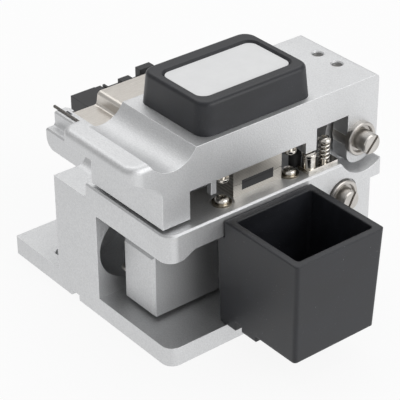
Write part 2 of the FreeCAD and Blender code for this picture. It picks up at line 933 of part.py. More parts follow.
def make_hinge():
    """Shaft held in the pillar, with a slotted end and a retaining clip beside the lid."""
    axis = ("hinge_y", "hinge_height")
    shaft_left = "lid_left - clip_gap - 2 * clip_thick"
    shaft_right = "lid_right + flange_thick + shaft_end_reach"
    shaft = rod("shaft_body", "x", axis, (shaft_left, shaft_right), "shaft_radius")
    shaft = chamfer_edges("shaft_ends", shaft, "edge_chamfer", lambda edge: edge.Curve.TypeId == "Part::GeomCircle")
    slot = block(
        "shaft_slot",
        (f"{shaft_right} - shaft_slot_depth", f"{shaft_right} + 1"),
        ("-shaft_slot_width / 2", "shaft_slot_width / 2"),
        ("-shaft_radius - 1", "shaft_radius + 1"),
    )
    turned = DOC.addObject("Part::Compound", "shaft_slot_turned")
    turned.Links = [slot]
    turned.Placement = Placement(Vector(), Rotation(Vector(1, 0, 0), 35))
    bind(turned, Placement_Base_y="hinge_y", Placement_Base_z="hinge_height")
    part("hinge_shaft", cut("hinge_shaft", shaft, turned))
    clip_right = "lid_left - clip_gap"
    part(
        "shaft_clip",
        ring("shaft_clip", "x", axis, (f"{clip_right} - clip_thick", clip_right), "clip_radius", "shaft_radius"),
    )


def flanged_bush(name, span, flange_span):
    """Bush in an ear with a dished flange on its outer face."""
    axis = ("hinge_y", "hinge_height")
    sleeve = rod(f"{name}_sleeve", "x", axis, span, "bush_radius")
    flange = rod(f"{name}_flange", "x", axis, flange_span, "flange_radius")
    bore = rod(f"{name}_bore", "x", axis, (f"{span[0]} - 1", f"{flange_span[1]} + 1"), "shaft_radius + running_gap")
    dish = rod(
        f"{name}_dish",
        "x",
        axis,
        (f"{flange_span[1]} - flange_dish_depth", f"{flange_span[1]} + 1"),
        "flange_dish_radius",
    )
    return cut(name, join(f"{name}_blank", sleeve, flange), bore, dish)


def make_lid():
    """Hollow lid: front leg with a finger lip, windows over the clamps and ears on the shaft."""
    outline = [
        ("lid_front", "lid_bottom"),
        ("leg_rear", "lid_bottom"),
        ("leg_rear", "front_window_top"),
        ("catch_front", "front_window_top"),
        ("catch_front", "catch_leg_bottom"),
        ("catch_rear", "catch_leg_bottom"),
        ("catch_rear", "rear_window_top"),
        ("ear_front", "rear_window_top"),
        ("ear_front", "ear_bottom"),
        ("lid_rear", "ear_bottom"),
        ("lid_rear", "lid_top"),
        ("lip_front", "lid_top"),
        ("lip_front", "lip_bottom"),
        ("lid_front", "lip_bottom - lip_slope_drop"),
    ]
    lid = outline_body("lid_profile", "YZ", outline, ("lid_left", "lid_right"))
    scoop = rod(
        "lid_scoop",
        "x",
        ("base_front + scoop_setback", "lid_top - scoop_depth + scoop_radius"),
        ("lid_left - 1", "lid_right + 1"),
        "scoop_radius",
    )
    lid = cut("lid_with_scoop", lid, scoop)
    lip_corners = straight_edges("z", ("lid_left", "lip_front"), ("lid_right", "lip_front"))
    lid = round_edges("lid_lip_corners", lid, "lip_corner_radius", lip_corners)
    root = straight_edges("x", ("lid_front", "lip_bottom - lip_slope_drop"))
    lid = round_edges("lid_lip_root", lid, "lip_root_radius", root)
    ear_front = straight_edges("x", ("ear_front", "ear_bottom"))
    lid = round_edges("lid_ear_front", lid, "ear_corner_radius", ear_front)
    ear_rear = straight_edges("x", ("lid_rear", "ear_bottom"))
    lid = round_edges("lid_ear_rear", lid, "ear_rear_radius", ear_rear)
    rear_top = straight_edges("x", ("lid_rear", "lid_top"))
    lid = round_edges("lid_rear_top", lid, "lid_rear_radius", rear_top)
    lip_top_limit = value("lip_front + lip_corner_radius + 1")
    lid = round_edges(
        "lid_lip_top",
        lid,
        "lip_top_radius",
        lambda edge: edges_in_plane("z", "lid_top")(edge)
        and edge.BoundBox.YMax < lip_top_limit
        and edge.BoundBox.XLength > value("edge_chamfer")
        and edge.BoundBox.YMin < value("lip_front + lip_corner_radius - 0.1"),
    )
    cavity = block(
        "lid_cavity",
        ("cavity_left", "cavity_right"),
        ("leg_rear", "ear_front"),
        ("ear_bottom - 1", "ceiling"),
    )
    pillar_room = block(
        "lid_pillar_room",
        ("left_ear_inner", "right_ear_inner"),
        ("ear_front - 1", "lid_rear + 1"),
        ("ear_bottom - 1", "hinge_height + pillar_radius + ear_gap"),
    )
    bush_seat = rod(
        "lid_bush_seat",
        "x",
        ("hinge_y", "hinge_height"),
        ("lid_left - 1", "lid_right + 1"),
        "bush_radius",
    )
    magnet_seat = rod(
        "lid_magnet_seat",
        "z",
        ("middle_x", "base_front + magnet_setback"),
        ("lid_bottom - 1", "lid_bottom + magnet_thick"),
        "magnet_radius",
    )
    cutters = [cavity, pillar_room, bush_seat, magnet_seat]
    for name, across in clamp_screw_places():
        span = ("shoulder_bottom - 1", "shoulder_bottom + screw_depth + 0.1")
        cutters.append(rod(f"lid_screw_room_{name}", "z", across, span, "screw_shank_radius + 0.1"))
    for index, across in enumerate(grub_places()):
        cutters.append(
            rod(f"grub_hole_{index}", "z", across, ("hinge_height + pillar_radius", "lid_top + 1"), "grub_radius")
        )
        cutters.append(
            cone(
                f"grub_mouth_{index}",
                across,
                ("lid_top - grub_sink", "lid_top + 0.01"),
                ("grub_radius", "grub_radius + grub_sink"),
            )
        )
    shell = cut("lid_hollow", lid, *cutters)
    lugs = []
    half = "(anvil_width / 2 + anvil_side_gap)"
    sides = (
        (f"middle_x - {half} - anvil_lug_thick", f"middle_x - {half}"),
        (f"middle_x + {half}", f"middle_x + {half} + anvil_lug_thick"),
    )
    for index, side in enumerate(sides):
        lugs.append(
            block(
                f"anvil_lug_{index}",
                side,
                ("anvil_y - anvil_boss_radius", "anvil_y + anvil_boss_radius"),
                ("anvil_z - anvil_boss_radius", "ceiling + 0.5"),
            )
        )
    pin_hole = rod(
        "anvil_pin_hole",
        "x",
        ("anvil_y", "anvil_z"),
        ("cavity_left + 1", "cavity_right - 1"),
        "anvil_pin_radius",
    )
    hook = block(
        "fibre_hook",
        ("lid_right - hook_inset - hook_width", "lid_right - hook_inset"),
        ("fibre_y - hook_lead", "fibre_y - hook_lead + hook_width"),
        ("hook_bottom", "front_window_top + 0.5"),
    )
    part("lid_shell", cut("lid_shell", join("lid_with_lugs", shell, hook, *lugs), pin_hole))
    right = ("right_ear_inner", "lid_right")
    part("hinge_bush_right", flanged_bush("hinge_bush_right", right, ("lid_right", "lid_right + flange_thick")))
    part(
        "hinge_bush_left",
        ring(
            "hinge_bush_left",
            "x",
            ("hinge_y", "hinge_height"),
            ("lid_left", "left_ear_inner"),
            "bush_radius",
            "shaft_radius + running_gap",
        ),
    )
    grubs = []
    for index, across in enumerate(grub_places()):
        grubs.append(
            rod(
                f"grub_screw_{index}",
                "z",
                across,
                ("lid_top - grub_depth - grub_length", "lid_top - grub_depth"),
                "grub_radius",
            )
        )
    part("lid_grub_screws", group("lid_grub_screws", *grubs))


def grub_places():
    """Places of the two grub screws in the rear of the lid."""
    row = "hinge_y + grub_offset"
    return [("middle_x - grub_pitch / 2", row), ("middle_x + grub_pitch / 2", row)]


def make_hand_pad():
    """Moulded pad on the lid, with a bare label plate in a shallow recess."""
    pad = tapered_block(
        "pad_blank",
        ("pad_left", "pad_right"),
        ("pad_front", "pad_rear"),
        ("lid_top", "pad_top"),
        "pad_draft",
    )
    corner_places = [(x, y) for x in ("pad_left", "pad_right") for y in ("pad_front", "pad_rear")]
    pad = round_edges("pad_corners", pad, "pad_corner_radius", straight_edges("z", *corner_places))
    pad = round_edges("pad_top_edge", pad, "pad_top_radius", edges_in_plane("z", "pad_top"))
    across, along = label_span("0")
    spots = [(x, y) for x in across for y in along]
    recess_across, recess_along = label_span("label_gap")
    recess_spots = [(x, y) for x in recess_across for y in recess_along]
    recess = block("label_recess", recess_across, recess_along, ("pad_top - label_sink", "pad_top + 1"))
    recess = round_edges("label_recess_corners", recess, "label_corner_radius", straight_edges("z", *recess_spots))
    rim = edges_in_plane("z", "pad_top")
    low, high = value(f"{recess_across[0]} - label_gap"), value(f"{recess_across[1]} + label_gap")

    def inside(point):
        return low < point.x < high

    pad = cut("pad_with_recess", pad, recess)
    inner = chamfer_edges(
        "hand_pad",
        pad,
        "label_recess_chamfer",
        lambda edge: rim(edge) and all(inside(vertex.Point) for vertex in edge.Vertexes),
    )
    part("hand_pad", inner)
    plate = block("label_blank", across, along, ("pad_top - label_sink", "pad_top - label_sink + label_thick"))
    plate = round_edges("label_plate", plate, "label_corner_radius", straight_edges("z", *spots))
    part("label_plate", plate)


def label_span(gap):
    """Range along X and along Y of the label plate, widened by a gap all round."""
    label_x = "(pad_left + pad_right) / 2 + label_shift"
    label_y = "(pad_front + pad_rear) / 2"
    across = (f"{label_x} - label_width / 2 - {gap}", f"{label_x} + label_width / 2 + {gap}")
    along = (f"{label_y} - label_length / 2 - {gap}", f"{label_y} + label_length / 2 + {gap}")
    return across, along


def make_clamps():
    """Two pairs of steel clamp blocks with rubber faces, their screws and washers."""
    rubber_front = "fibre_y - rubber_length / 2"
    rubber_rear = "fibre_y + rubber_length / 2"
    for side in ("left", "right"):
        x = (f"{side}_clamp_left", f"{side}_clamp_right")
        lower = block(f"lower_blank_{side}", x, ("clamp_front", "clamp_rear"), ("deck_top", "clamp_split"))
        lower_slot = block(
            f"lower_rubber_slot_{side}",
            (f"{x[0]} - 1", f"{x[1]} + 1"),
            (rubber_front, rubber_rear),
            ("clamp_split - lower_rubber_depth", "clamp_split + 1"),
        )
        part(f"lower_clamp_{side}", cut(f"lower_clamp_{side}", lower, lower_slot))
        part(
            f"lower_rubber_{side}",
            block(
                f"lower_rubber_{side}",
                x,
                (rubber_front, rubber_rear),
                ("clamp_split - lower_rubber_depth", "clamp_split + rubber_relief"),
            ),
        )
        inner = (f"max({x[0]}; cavity_left + 0.2)", f"min({x[1]}; cavity_right - 0.2)")
        upper = block(
            f"upper_blank_{side}",
            inner,
            ("clamp_front", "clamp_rear"),
            ("upper_clamp_bottom", "ceiling"),
        )
        shoulder = block(
            f"upper_shoulder_{side}",
            inner,
            ("clamp_front - shoulder_length", "clamp_rear + shoulder_length"),
            ("shoulder_bottom", "ceiling"),
        )
        upper_slot = block(
            f"upper_rubber_slot_{side}",
            (f"{x[0]} - 1", f"{x[1]} + 1"),
            (rubber_front, rubber_rear),
            ("upper_clamp_bottom - 1", "upper_clamp_bottom + upper_rubber_depth"),
        )
        screw_seats = [
            rod(
                f"upper_screw_seat_{side}_{end}",
                "z",
                (f"{side}_screw_x", y),
                ("shoulder_bottom - 1", "shoulder_bottom + screw_depth"),
                "screw_shank_radius",
            )
            for end, y in (("front", "front_screw_y"), ("rear", "rear_screw_y"))
        ]
        upper = join(f"upper_whole_{side}", upper, shoulder)
        part(f"upper_clamp_{side}", cut(f"upper_clamp_{side}", upper, upper_slot, *screw_seats))
        part(
            f"upper_rubber_{side}",
            block(
                f"upper_rubber_{side}",
                inner,
                (rubber_front, rubber_rear),
                ("upper_clamp_bottom", "upper_clamp_bottom + upper_rubber_depth"),
            ),
        )
    lower_seat = "deck_top - washer_recess_depth + washer_thick"
    lower_screws = []
    upper_screws = []
    washers = []
    for name, across in clamp_screw_places():
        lower_screws.append(pan_screw(f"lower_screw_{name}", across, lower_seat, "screw_depth"))
        upper_screws.append(pan_screw(f"upper_screw_{name}", across, "shoulder_bottom", "screw_depth", up=False))
        washer_span = ("deck_top - washer_recess_depth", lower_seat)
        washers.append(ring(f"washer_{name}", "z", across, washer_span, "washer_radius", "screw_shank_radius"))
    part("lower_clamp_screws", group("lower_clamp_screws", *lower_screws))
    part("upper_clamp_screws", group("upper_clamp_screws", *upper_screws))
    part("clamp_washers", group("clamp_washers", *washers))


def make_magnets():
    """Magnet pair that holds the lid shut, flush in the deck and in the front leg."""
    across = ("middle_x", "base_front + magnet_setback")
    part("deck_magnet", rod("deck_magnet", "z", across, ("deck_top - magnet_thick", "deck_top"), "magnet_radius"))
    part("lid_magnet", rod("lid_magnet", "z", across, ("lid_bottom", "lid_bottom + magnet_thick"), "magnet_radius"))


def make_strike():
    """Nickel strike plate on the deck with its stud, spring screw, spring and rubber post."""
    plate_y = ("strike_front", "strike_front + strike_length")
    plate = block("strike_blank", ("strike_left", "strike_right"), plate_y, ("deck_top", "strike_top"))
    corners = [(x, y) for x in ("strike_left", "strike_right") for y in plate_y]
    plate = round_edges("strike_corners", plate, "edge_chamfer", straight_edges("z", *corners))
    part("strike_plate", plate)
    stud = ("base_right - stud_inset", "fibre_y + stud_offset")
    stud_top = "catch_leg_bottom - stud_top_gap"
    neck = rod("stud_neck", "z", stud, ("strike_top", f"{stud_top} - 0.2"), "stud_radius")
    head = rod("stud_head", "z", stud, (f"{stud_top} - stud_head_thick", stud_top), "stud_head_radius")
    head = chamfer_edges("stud_crown", head, "edge_chamfer", edges_in_plane("z", stud_top))
    part("strike_stud", join("strike_stud", neck, head))
    screw = ("base_right - spring_screw_inset", "fibre_y + spring_screw_offset")
    head_low = "spring_screw_top - spring_head_thick"
    stem = rod("spring_stem", "z", screw, ("strike_top", "spring_screw_top"), "spring_stem_radius")
    head = rod("spring_head", "z", screw, (head_low, "spring_screw_top"), "spring_head_radius")
    head = chamfer_edges("spring_crown", head, "edge_chamfer", lambda edge: edge.Curve.TypeId == "Part::GeomCircle")
    part("spring_screw", join("spring_screw", stem, head))
    part("strike_spring", coil_spring(screw, "strike_top", head_low))
    post = ("base_right - post_inset", "fibre_y + post_offset")
    body = rod("post_body", "z", post, ("deck_top", "deck_top + post_height"), "post_radius")
    top = edges_in_plane("z", "deck_top + post_height")
    part("rubber_post", chamfer_edges("rubber_post", body, "post_radius * 0.4", top))


def coil_spring(across, low, high):
    """Six-sided-wire compression spring between two heights."""
    radius = value("spring_radius")
    wire = value("spring_wire")
    bottom = value(low) + wire
    height = value(high) - wire - bottom
    helix = Part.makeHelix(height / value("spring_turns"), height, radius)
    corners = []
    for index in range(7):
        turn = math.radians(60 * index)
        corners.append(Vector(radius + wire * math.cos(turn), 0, wire * math.sin(turn)))
    section = Part.makePolygon(corners)
    spring = DOC.addObject("Part::Feature", "strike_spring")
    spring.Shape = Part.Wire(helix.Edges).makePipeShell([section], True, True)
    spring.Placement = Placement(Vector(value(across[0]), value(across[1]), bottom), Rotation())
    return spring


def make_side_screw():
    """Large slotted screw with its washer in the right face of the rear block."""
    axis = ("hinge_y - side_screw_lead", "side_screw_height")
    face = "rear_block_right"
    part(
        "side_washer",
        ring("side_washer", "x", axis, (face, f"{face} + flange_thick"), "flange_radius", "shaft_radius"),
    )
    end = f"{face} + flange_thick + side_screw_reach"
    body = rod("side_screw_body", "x", axis, (face, end), "shaft_radius")
    body = chamfer_edges("side_screw_end", body, "edge_chamfer", edges_in_plane("x", end))
    slot = block(
        "side_screw_slot",
        (f"{end} - shaft_slot_depth", f"{end} + 1"),
        ("-shaft_slot_width / 2", "shaft_slot_width / 2"),
        ("-shaft_radius - 1", "shaft_radius + 1"),
    )
    turned = DOC.addObject("Part::Compound", "side_slot_turned")
    turned.Links = [slot]
    turned.Placement = Placement(Vector(), Rotation(Vector(1, 0, 0), 60))
    bind(turned, Placement_Base_y=axis[0], Placement_Base_z=axis[1])
    part("side_screw", cut("side_screw", body, turned))


def make_slider():
    """Slider block on a linear rail, with its carriage, side pin and rear bumper."""
    blank = block(
        "slider_blank",
        ("slider_left", "slider_right"),
        ("slider_front", "slider_rear"),
        ("slider_bottom", "slider_top"),
    )
    blank = chamfer_edges("slider_front_edges", blank, "slider_chamfer", edges_in_plane("y", "slider_front"))
    channel = block(
        "slider_channel",
        ("slider_middle - channel_width / 2", "slider_middle + channel_width / 2"),
        ("channel_start", "slider_rear + 1"),
        ("slider_bottom - 1", "slider_bottom + channel_height"),
    )
    pin_axis = ("slider_front + slider_pin_setback", "slider_pin_height")
    pin_inner = "slider_left + slider_pin_radius * 2"
    pin_seat = rod("slider_pin_seat", "x", pin_axis, ("slider_left - 1", pin_inner), "slider_pin_radius")
    part("slider_block", cut("slider_block", blank, channel, pin_seat))
    pin_span = ("slider_left - slider_pin_reach", pin_inner)
    pin = rod("slider_pin_body", "x", pin_axis, pin_span, "slider_pin_radius")
    part("slider_pin", chamfer_edges("slider_pin", pin, "edge_chamfer", edges_in_plane("x", pin_span[0])))
    rail = block(
        "rail_blank",
        ("slider_middle - rail_width / 2", "slider_middle + rail_width / 2"),
        ("rail_front", "rail_rear"),
        ("plate_thick", "rail_top"),
    )
    part("slide_rail", rail)
    carriage = block(
        "carriage_blank",
        ("slider_middle - channel_width / 2", "slider_middle + channel_width / 2"),
        ("slider_rear - carriage_length", "slider_rear"),
        ("slider_bottom", "slider_bottom + channel_height"),
    )
    way = block(
        "carriage_way",
        ("slider_middle - rail_width / 2 - carriage_gap", "slider_middle + rail_width / 2 + carriage_gap"),
        ("slider_rear - carriage_length - 1", "slider_rear + 1"),
        ("slider_bottom - 1", "rail_top + carriage_gap"),
    )
    part("slide_carriage", cut("slide_carriage", carriage, way))
    bumper = rod(
        "slide_bumper",
        "y",
        ("slider_middle", "bumper_height"),
        ("slider_rear + bumper_gap", "rear_block_front"),
        "bumper_radius",
    )
    part("slide_bumper", bumper)
    plug = ("web_left", "web_left + port_plug_thick")
    part("port_plug", rod("port_plug", "x", ("port_y", "port_height"), plug, "port_radius"))


def make_blade():
    """Blade bracket on the slider, its axle, and the round blade with its hub."""
    foot_y = ("blade_y - foot_length / 2 - 0.9", "blade_y + foot_length / 2 - 0.9")
    foot = block(
        "bracket_foot",
        ("bracket_right - foot_width", "bracket_right"),
        foot_y,
        ("slider_top", "slider_top + foot_thick"),
    )
    upright = block(
        "bracket_upright",
        ("bracket_left", "bracket_right"),
        ("blade_y - bracket_top_radius", "blade_y + bracket_top_radius"),
        ("slider_top", "blade_z"),
    )
    head = rod("bracket_head", "x", ("blade_y", "blade_z"), ("bracket_left", "bracket_right"), "bracket_top_radius")
    seat = rod("axle_seat", "x", ("blade_y", "blade_z"), ("bracket_left - 1", "bracket_right + 1"), "axle_radius")
    part("blade_bracket", cut("blade_bracket", join("bracket_whole", foot, upright, head), seat))
    screws = [
        rod(
            f"bracket_screw_{index}",
            "z",
            ("bracket_left - foot_screw_radius - 0.2", f"{foot_y[index]} {sign} foot_screw_inset"),
            ("slider_top + foot_thick", "slider_top + foot_thick + foot_screw_head"),
            "foot_screw_radius",
        )
        for index, sign in enumerate("+-")
    ]
    part("bracket_screws", group("bracket_screws", *screws))
    hub_right = "blade_right + hub_thick"
    cap_left = f"{hub_right} + carriage_gap"
    axle = rod("axle_pin", "x", ("blade_y", "blade_z"), ("bracket_left", f"{cap_left} + 0.1"), "axle_radius")
    cap = rod("axle_cap", "x", ("blade_y", "blade_z"), (cap_left, f"{cap_left} + 0.8"), "hub_radius - 0.6")
    part("blade_axle", join("blade_axle", axle, cap))
    disc = rod("blade_disc", "x", ("blade_y", "blade_z"), ("blade_left", "blade_right"), "blade_radius")
    disc = chamfer_edges("blade_edge", disc, "blade_thick * 0.4", lambda edge: edge.Curve.TypeId == "Part::GeomCircle")
    bore = rod("blade_hole", "x", ("blade_y", "blade_z"), ("blade_left - 1", "blade_right + 1"), "axle_radius + running_gap")
    part("blade_wheel", cut("blade_wheel", disc, bore))
    hub = ("blade_right", hub_right)
    part(
        "blade_hub",
        ring("blade_hub", "x", ("blade_y", "blade_z"), hub, "hub_radius", "axle_radius + running_gap"),
    )


def make_anvil():
    """Anvil lever in the lid that bends the scored fibre over the blade line."""
    x = ("middle_x - anvil_width / 2", "middle_x + anvil_width / 2")
    boss = rod("anvil_boss", "x", ("anvil_y", "anvil_z"), x, "anvil_boss_radius")
    lever = block(
        "anvil_lever",
        x,
        ("fibre_y - anvil_tip_length / 2", "anvil_y"),
        ("anvil_z - anvil_thick / 2", "anvil_z + anvil_thick / 2"),
    )
    tip = tapered_block(
        "anvil_tip",
        (f"{x[0]} + 1", f"{x[1]} - 1"),
        ("fibre_y - anvil_tip_length / 2", "fibre_y + anvil_tip_length / 2"),
        ("clamp_split + anvil_tip_gap", "anvil_z"),
        "-0.4",
    )
    pin_hole = rod(
        "anvil_hole",
        "x",
        ("anvil_y", "anvil_z"),
        (f"{x[0]} - 1", f"{x[1]} + 1"),
        "anvil_pin_radius + running_gap",
    )
    part("anvil", cut("anvil", join("anvil_whole", boss, lever, tip), pin_hole))
    reach = "anvil_side_gap + anvil_lug_thick"
    pin = rod(
        "anvil_pin",
        "x",
        ("anvil_y", "anvil_z"),
        (f"{x[0]} - {reach}", f"{x[1]} + {reach}"),
        "anvil_pin_radius",
    )
    part("anvil_pin", pin)


def make_bin():
    """Open-topped scrap bin whose tongue slides in between the base plate and the deck."""
    toe_right = "tongue_left + toe_length"
    tab_left = f"{toe_right} + toe_gap"
    tab_right = f"{tab_left} + tab_length"
    outline = [
        ("tongue_left", "tongue_bottom"),
        (toe_right, "tongue_bottom"),
        (toe_right, "bin_bottom"),
        (tab_left, "bin_bottom"),
        (tab_left, "bin_bottom - tab_drop"),
        (tab_right, "bin_bottom - tab_drop"),
        (tab_right, "bin_bottom"),
        ("bin_right - bin_draft", "bin_bottom"),
        ("bin_right", "bin_top"),
        ("bin_left", "bin_top"),
        ("bin_left", "tongue_top"),
        ("tongue_left", "tongue_top"),
    ]
    profile = outline_body("bin_profile", "XZ", outline, ("bin_front - 1", "bin_rear + 1"))
    sides = tapered_block(
        "bin_sides",
        ("tongue_left - 1", "bin_right + 1"),
        ("bin_front + bin_draft", "bin_rear - bin_draft"),
        ("tongue_bottom", "bin_top"),
        "-bin_draft",
    )
    body = DOC.addObject("Part::MultiCommon", "bin_body")
    body.Shapes = [profile, sides]
    corners = [("bin_right - bin_draft / 2", y) for y in ("bin_front + bin_draft / 2", "bin_rear - bin_draft / 2")]
    corners += [("tongue_left", y) for y in ("bin_front + bin_draft / 2", "bin_rear - bin_draft / 2")]
    whole = round_edges("bin_corners", body, "bin_corner_radius", straight_edges("z", *corners))
    inside = tapered_block(
        "bin_inside",
        ("bin_left + bin_wall + bin_draft", "bin_right - bin_wall - bin_draft"),
        ("bin_front + bin_wall + bin_draft", "bin_rear - bin_wall - bin_draft"),
        ("bin_bottom + bin_wall", "bin_top"),
        "-bin_draft",
    )
    corners = [
        (x, y)
        for x in ("bin_left + bin_wall + bin_draft / 2", "bin_right - bin_wall - bin_draft / 2")
        for y in ("bin_front + bin_wall + bin_draft / 2", "bin_rear - bin_wall - bin_draft / 2")
    ]
    inside = round_edges("bin_inside_corners", inside, "bin_corner_radius", straight_edges("z", *corners))
    part("scrap_bin", cut("scrap_bin", whole, inside))


def make_pin():
    """Toothed pin that lies in the groove of the fence."""
    left = "wing_left - guide_pin_overhang"
    span = (left, f"{left} + guide_pin_length")
    part("guide_pin", rod("guide_pin", "x", ("guide_pin_y", "guide_pin_z"), span, "guide_pin_radius"))


# Steps of the guide strip from front to rear, each with a run and a drop below the floor of the wing.
STRIP_STEPS = ["lip", "gap", "tooth", "seat", "rest", "land", "dip", "tab"]


def make_guide():
    """Moulded guide beside the wing: a broad front block, then a thin strip with two upright tabs."""
    strip_front = "guide_front + guide_front_length"
    points = [(strip_front, "guide_bottom")]
    place = strip_front
    for step in STRIP_STEPS:
        level = f"wing_floor - strip_{step}_drop"
        points.append((place, level))
        place = f"{place} + strip_{step}_run"
        points.append((place, level))
    points.append((place, "guide_bottom"))
    strip = outline_body(
        "guide_strip",
        "YZ",
        list(reversed(points)),
        ("guide_left", "guide_left + guide_strip_width"),
    )
    front = block(
        "guide_front_block",
        ("guide_left", "flank"),
        ("guide_front", strip_front),
        ("guide_bottom", "wing_floor - guide_top_drop"),
    )
    foot = block("guide_foot", ("guide_left", "flank"), (strip_front, place), ("guide_bottom", "guide_foot_top"))
    whole = join("guide_whole", front, foot, strip)
    seats = []
    screws = []
    for index, along in enumerate(guide_screw_places()):
        axis = (along, "guide_screw_z")
        seats.append(rod(f"guide_hole_{index}", "x", axis, ("guide_left - 1", "flank + 1"), "screw_shank_radius"))
        head = rod(f"guide_screw_head_{index}", "x", axis, ("guide_left - 1", "guide_left"), "screw_head_radius")
        span = ("guide_left", "flank + guide_screw_reach")
        shank = rod(f"guide_screw_shank_{index}", "x", axis, span, "screw_shank_radius")
        screws.append(join(f"guide_screw_{index}", head, shank))
    part("fibre_guide", cut("fibre_guide", whole, *seats))
    part("guide_screws", group("guide_screws", *screws))


def bracket_screw_places():
    """Places of the two screws in the feet of the hinge bracket."""
    reach = "knuckle_width / 2 + bracket_ear_gap + bracket_ear_width + bracket_foot_width / 2"
    return [(f"press_middle - ({reach})", "press_pin_y"), (f"press_middle + {reach}", "press_pin_y")]


def make_press():
    """Press plate bent from sheet, its rolled knuckle, pin, bracket, bed, rubber and magnet."""
    run = "riser_run"
    outline = [
        ("press_front", "press_low"),
        ("riser_y + sheet_thick", "press_low"),
        (f"riser_y + sheet_thick + {run}", "press_high"),
        ("press_rear", "press_high"),
        ("press_rear", "press_high + sheet_thick"),
        (f"riser_y + {run}", "press_high + sheet_thick"),
        ("riser_y", "press_low + sheet_thick"),
        ("press_front", "press_low + sheet_thick"),
    ]
    sheet = outline_body("press_sheet", "YZ", outline, ("press_left", "press_right"))
    inner_spots = [(f"riser_y + sheet_thick + {run}", "press_high"), ("riser_y", "press_low + sheet_thick")]
    inner = straight_edges("x", *inner_spots, reach=0.1)
    sheet = round_edges("press_inner_bends", sheet, "bend_radius - sheet_thick", inner)
    outer_spots = [("riser_y + sheet_thick", "press_low"), (f"riser_y + {run}", "press_high + sheet_thick")]
    outer = straight_edges("x", *outer_spots, reach=0.1)
    sheet = round_edges("press_outer_bends", sheet, "bend_radius", outer)
    knuckle_x = ("press_middle - knuckle_width / 2", "press_middle + knuckle_width / 2")
    tongue = block(
        "press_tongue",
        knuckle_x,
        ("press_rear - 0.5", "press_pin_y"),
        ("press_high", "press_high + sheet_thick"),
    )
    axis = ("press_pin_y", "press_pin_z")
    roll = rod("press_roll", "x", axis, knuckle_x, "knuckle_radius")
    bore = rod(
        "press_bore",
        "x",
        axis,
        (f"{knuckle_x[0]} - 1", f"{knuckle_x[1]} + 1"),
        "press_pin_radius + running_gap",
    )
    part("press_plate", cut("press_plate", join("press_whole", sheet, tongue, roll), bore))
    make_press_bracket(axis)
    bed_y = ("fibre_y - bed_length / 2", "fibre_y + bed_length / 2")
    bed_x = ("press_middle - bed_width / 2", "press_middle + bed_width / 2")
    bed = block("bed_blank", bed_x, bed_y, ("wing_floor", "clamp_split"))
    groove_x = (f"{bed_x[0]} - 1", f"{bed_x[1]} + 1")
    groove_y = ("fibre_y - bed_groove", "fibre_y + bed_groove")
    groove = block("bed_groove", groove_x, groove_y, ("clamp_split - bed_groove", "clamp_split + 1"))
    part("fibre_bed", cut("fibre_bed", bed, groove))
    rubber = block(
        "press_rubber",
        ("press_middle - press_rubber_width / 2", "press_middle + press_rubber_width / 2"),
        ("fibre_y - press_rubber_length / 2", "fibre_y + press_rubber_length / 2"),
        ("clamp_split + press_rubber_gap", "press_high"),
    )
    part("press_rubber", rubber)
    magnet = ("press_middle", "fence_rear + press_magnet_setback")
    span = ("wing_floor - press_magnet_thick", "wing_floor")
    part("press_magnet", rod("press_magnet", "z", magnet, span, "press_magnet_radius"))


def make_press_bracket(axis):
    """Bracket with two ears that carry the pin of the press plate, and its screws."""
    foot_top = "wing_floor + bracket_foot_thick"
    ear_start = "knuckle_width / 2 + bracket_ear_gap"
    ear_end = f"{ear_start} + bracket_ear_width"
    reach = f"{ear_end} + bracket_foot_width"
    foot_y = ("press_pin_y - bracket_foot_length / 2", "press_pin_y + bracket_foot_length / 2")
    foot_x = (f"press_middle - ({reach})", f"press_middle + {reach}")
    solids = [block("bracket_base", foot_x, foot_y, ("wing_floor", foot_top))]
    ears = (
        (f"press_middle - ({ear_end})", f"press_middle - ({ear_start})"),
        (f"press_middle + {ear_start}", f"press_middle + {ear_end}"),
    )
    ear_y = ("press_pin_y - knuckle_radius", "press_pin_y + knuckle_radius")
    for index, ear_x in enumerate(ears):
        solids.append(block(f"bracket_ear_{index}", ear_x, ear_y, (f"{foot_top} - 0.2", "press_pin_z")))
        solids.append(rod(f"bracket_ear_head_{index}", "x", axis, ear_x, "knuckle_radius"))
    seats = [rod("bracket_pin_seat", "x", axis, (f"{foot_x[0]} - 1", f"{foot_x[1]} + 1"), "press_pin_radius")]
    screws = []
    for index, across in enumerate(bracket_screw_places()):
        seats.append(rod(f"bracket_hole_{index}", "z", across, ("wing_floor - 1", f"{foot_top} + 1"), "screw_shank_radius"))
        screws.append(pan_screw(f"bracket_screw_{index}", across, foot_top, "bracket_foot_thick + screw_depth"))
    part("press_bracket", cut("press_bracket", join("bracket_solid", *solids), *seats))
    part("press_screws", group("press_screws", *screws))
    part("press_pin", rod("press_pin", "x", axis, (ears[0][0], ears[1][1]), "press_pin_radius"))


make_base_frame()
make_hinge()
make_lid()
make_hand_pad()
make_clamps()
make_magnets()
make_strike()
make_side_screw()
make_slider()
make_blade()
make_anvil()
make_bin()
make_pin()
make_guide()
make_press()

DOC.recompute()

for item in DOC.Objects:
    if "Invalid" in item.State or "Error" in item.State:
        raise RuntimeError(f"{item.Name} failed: {item.State}")
for label, item in PARTS:
    if item.Shape.isNull() or not item.Shape.isValid():
        raise RuntimeError(f"{label} has no valid shape")

os.makedirs("parts", exist_ok=True)
for label, item in PARTS:
    item.Shape.exportStep(f"parts/{label}.step")
print(f"{len(PARTS)} sub-parts")
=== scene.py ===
import json
import math

import bmesh
import bpy
from mathutils import Euler, Matrix, Vector


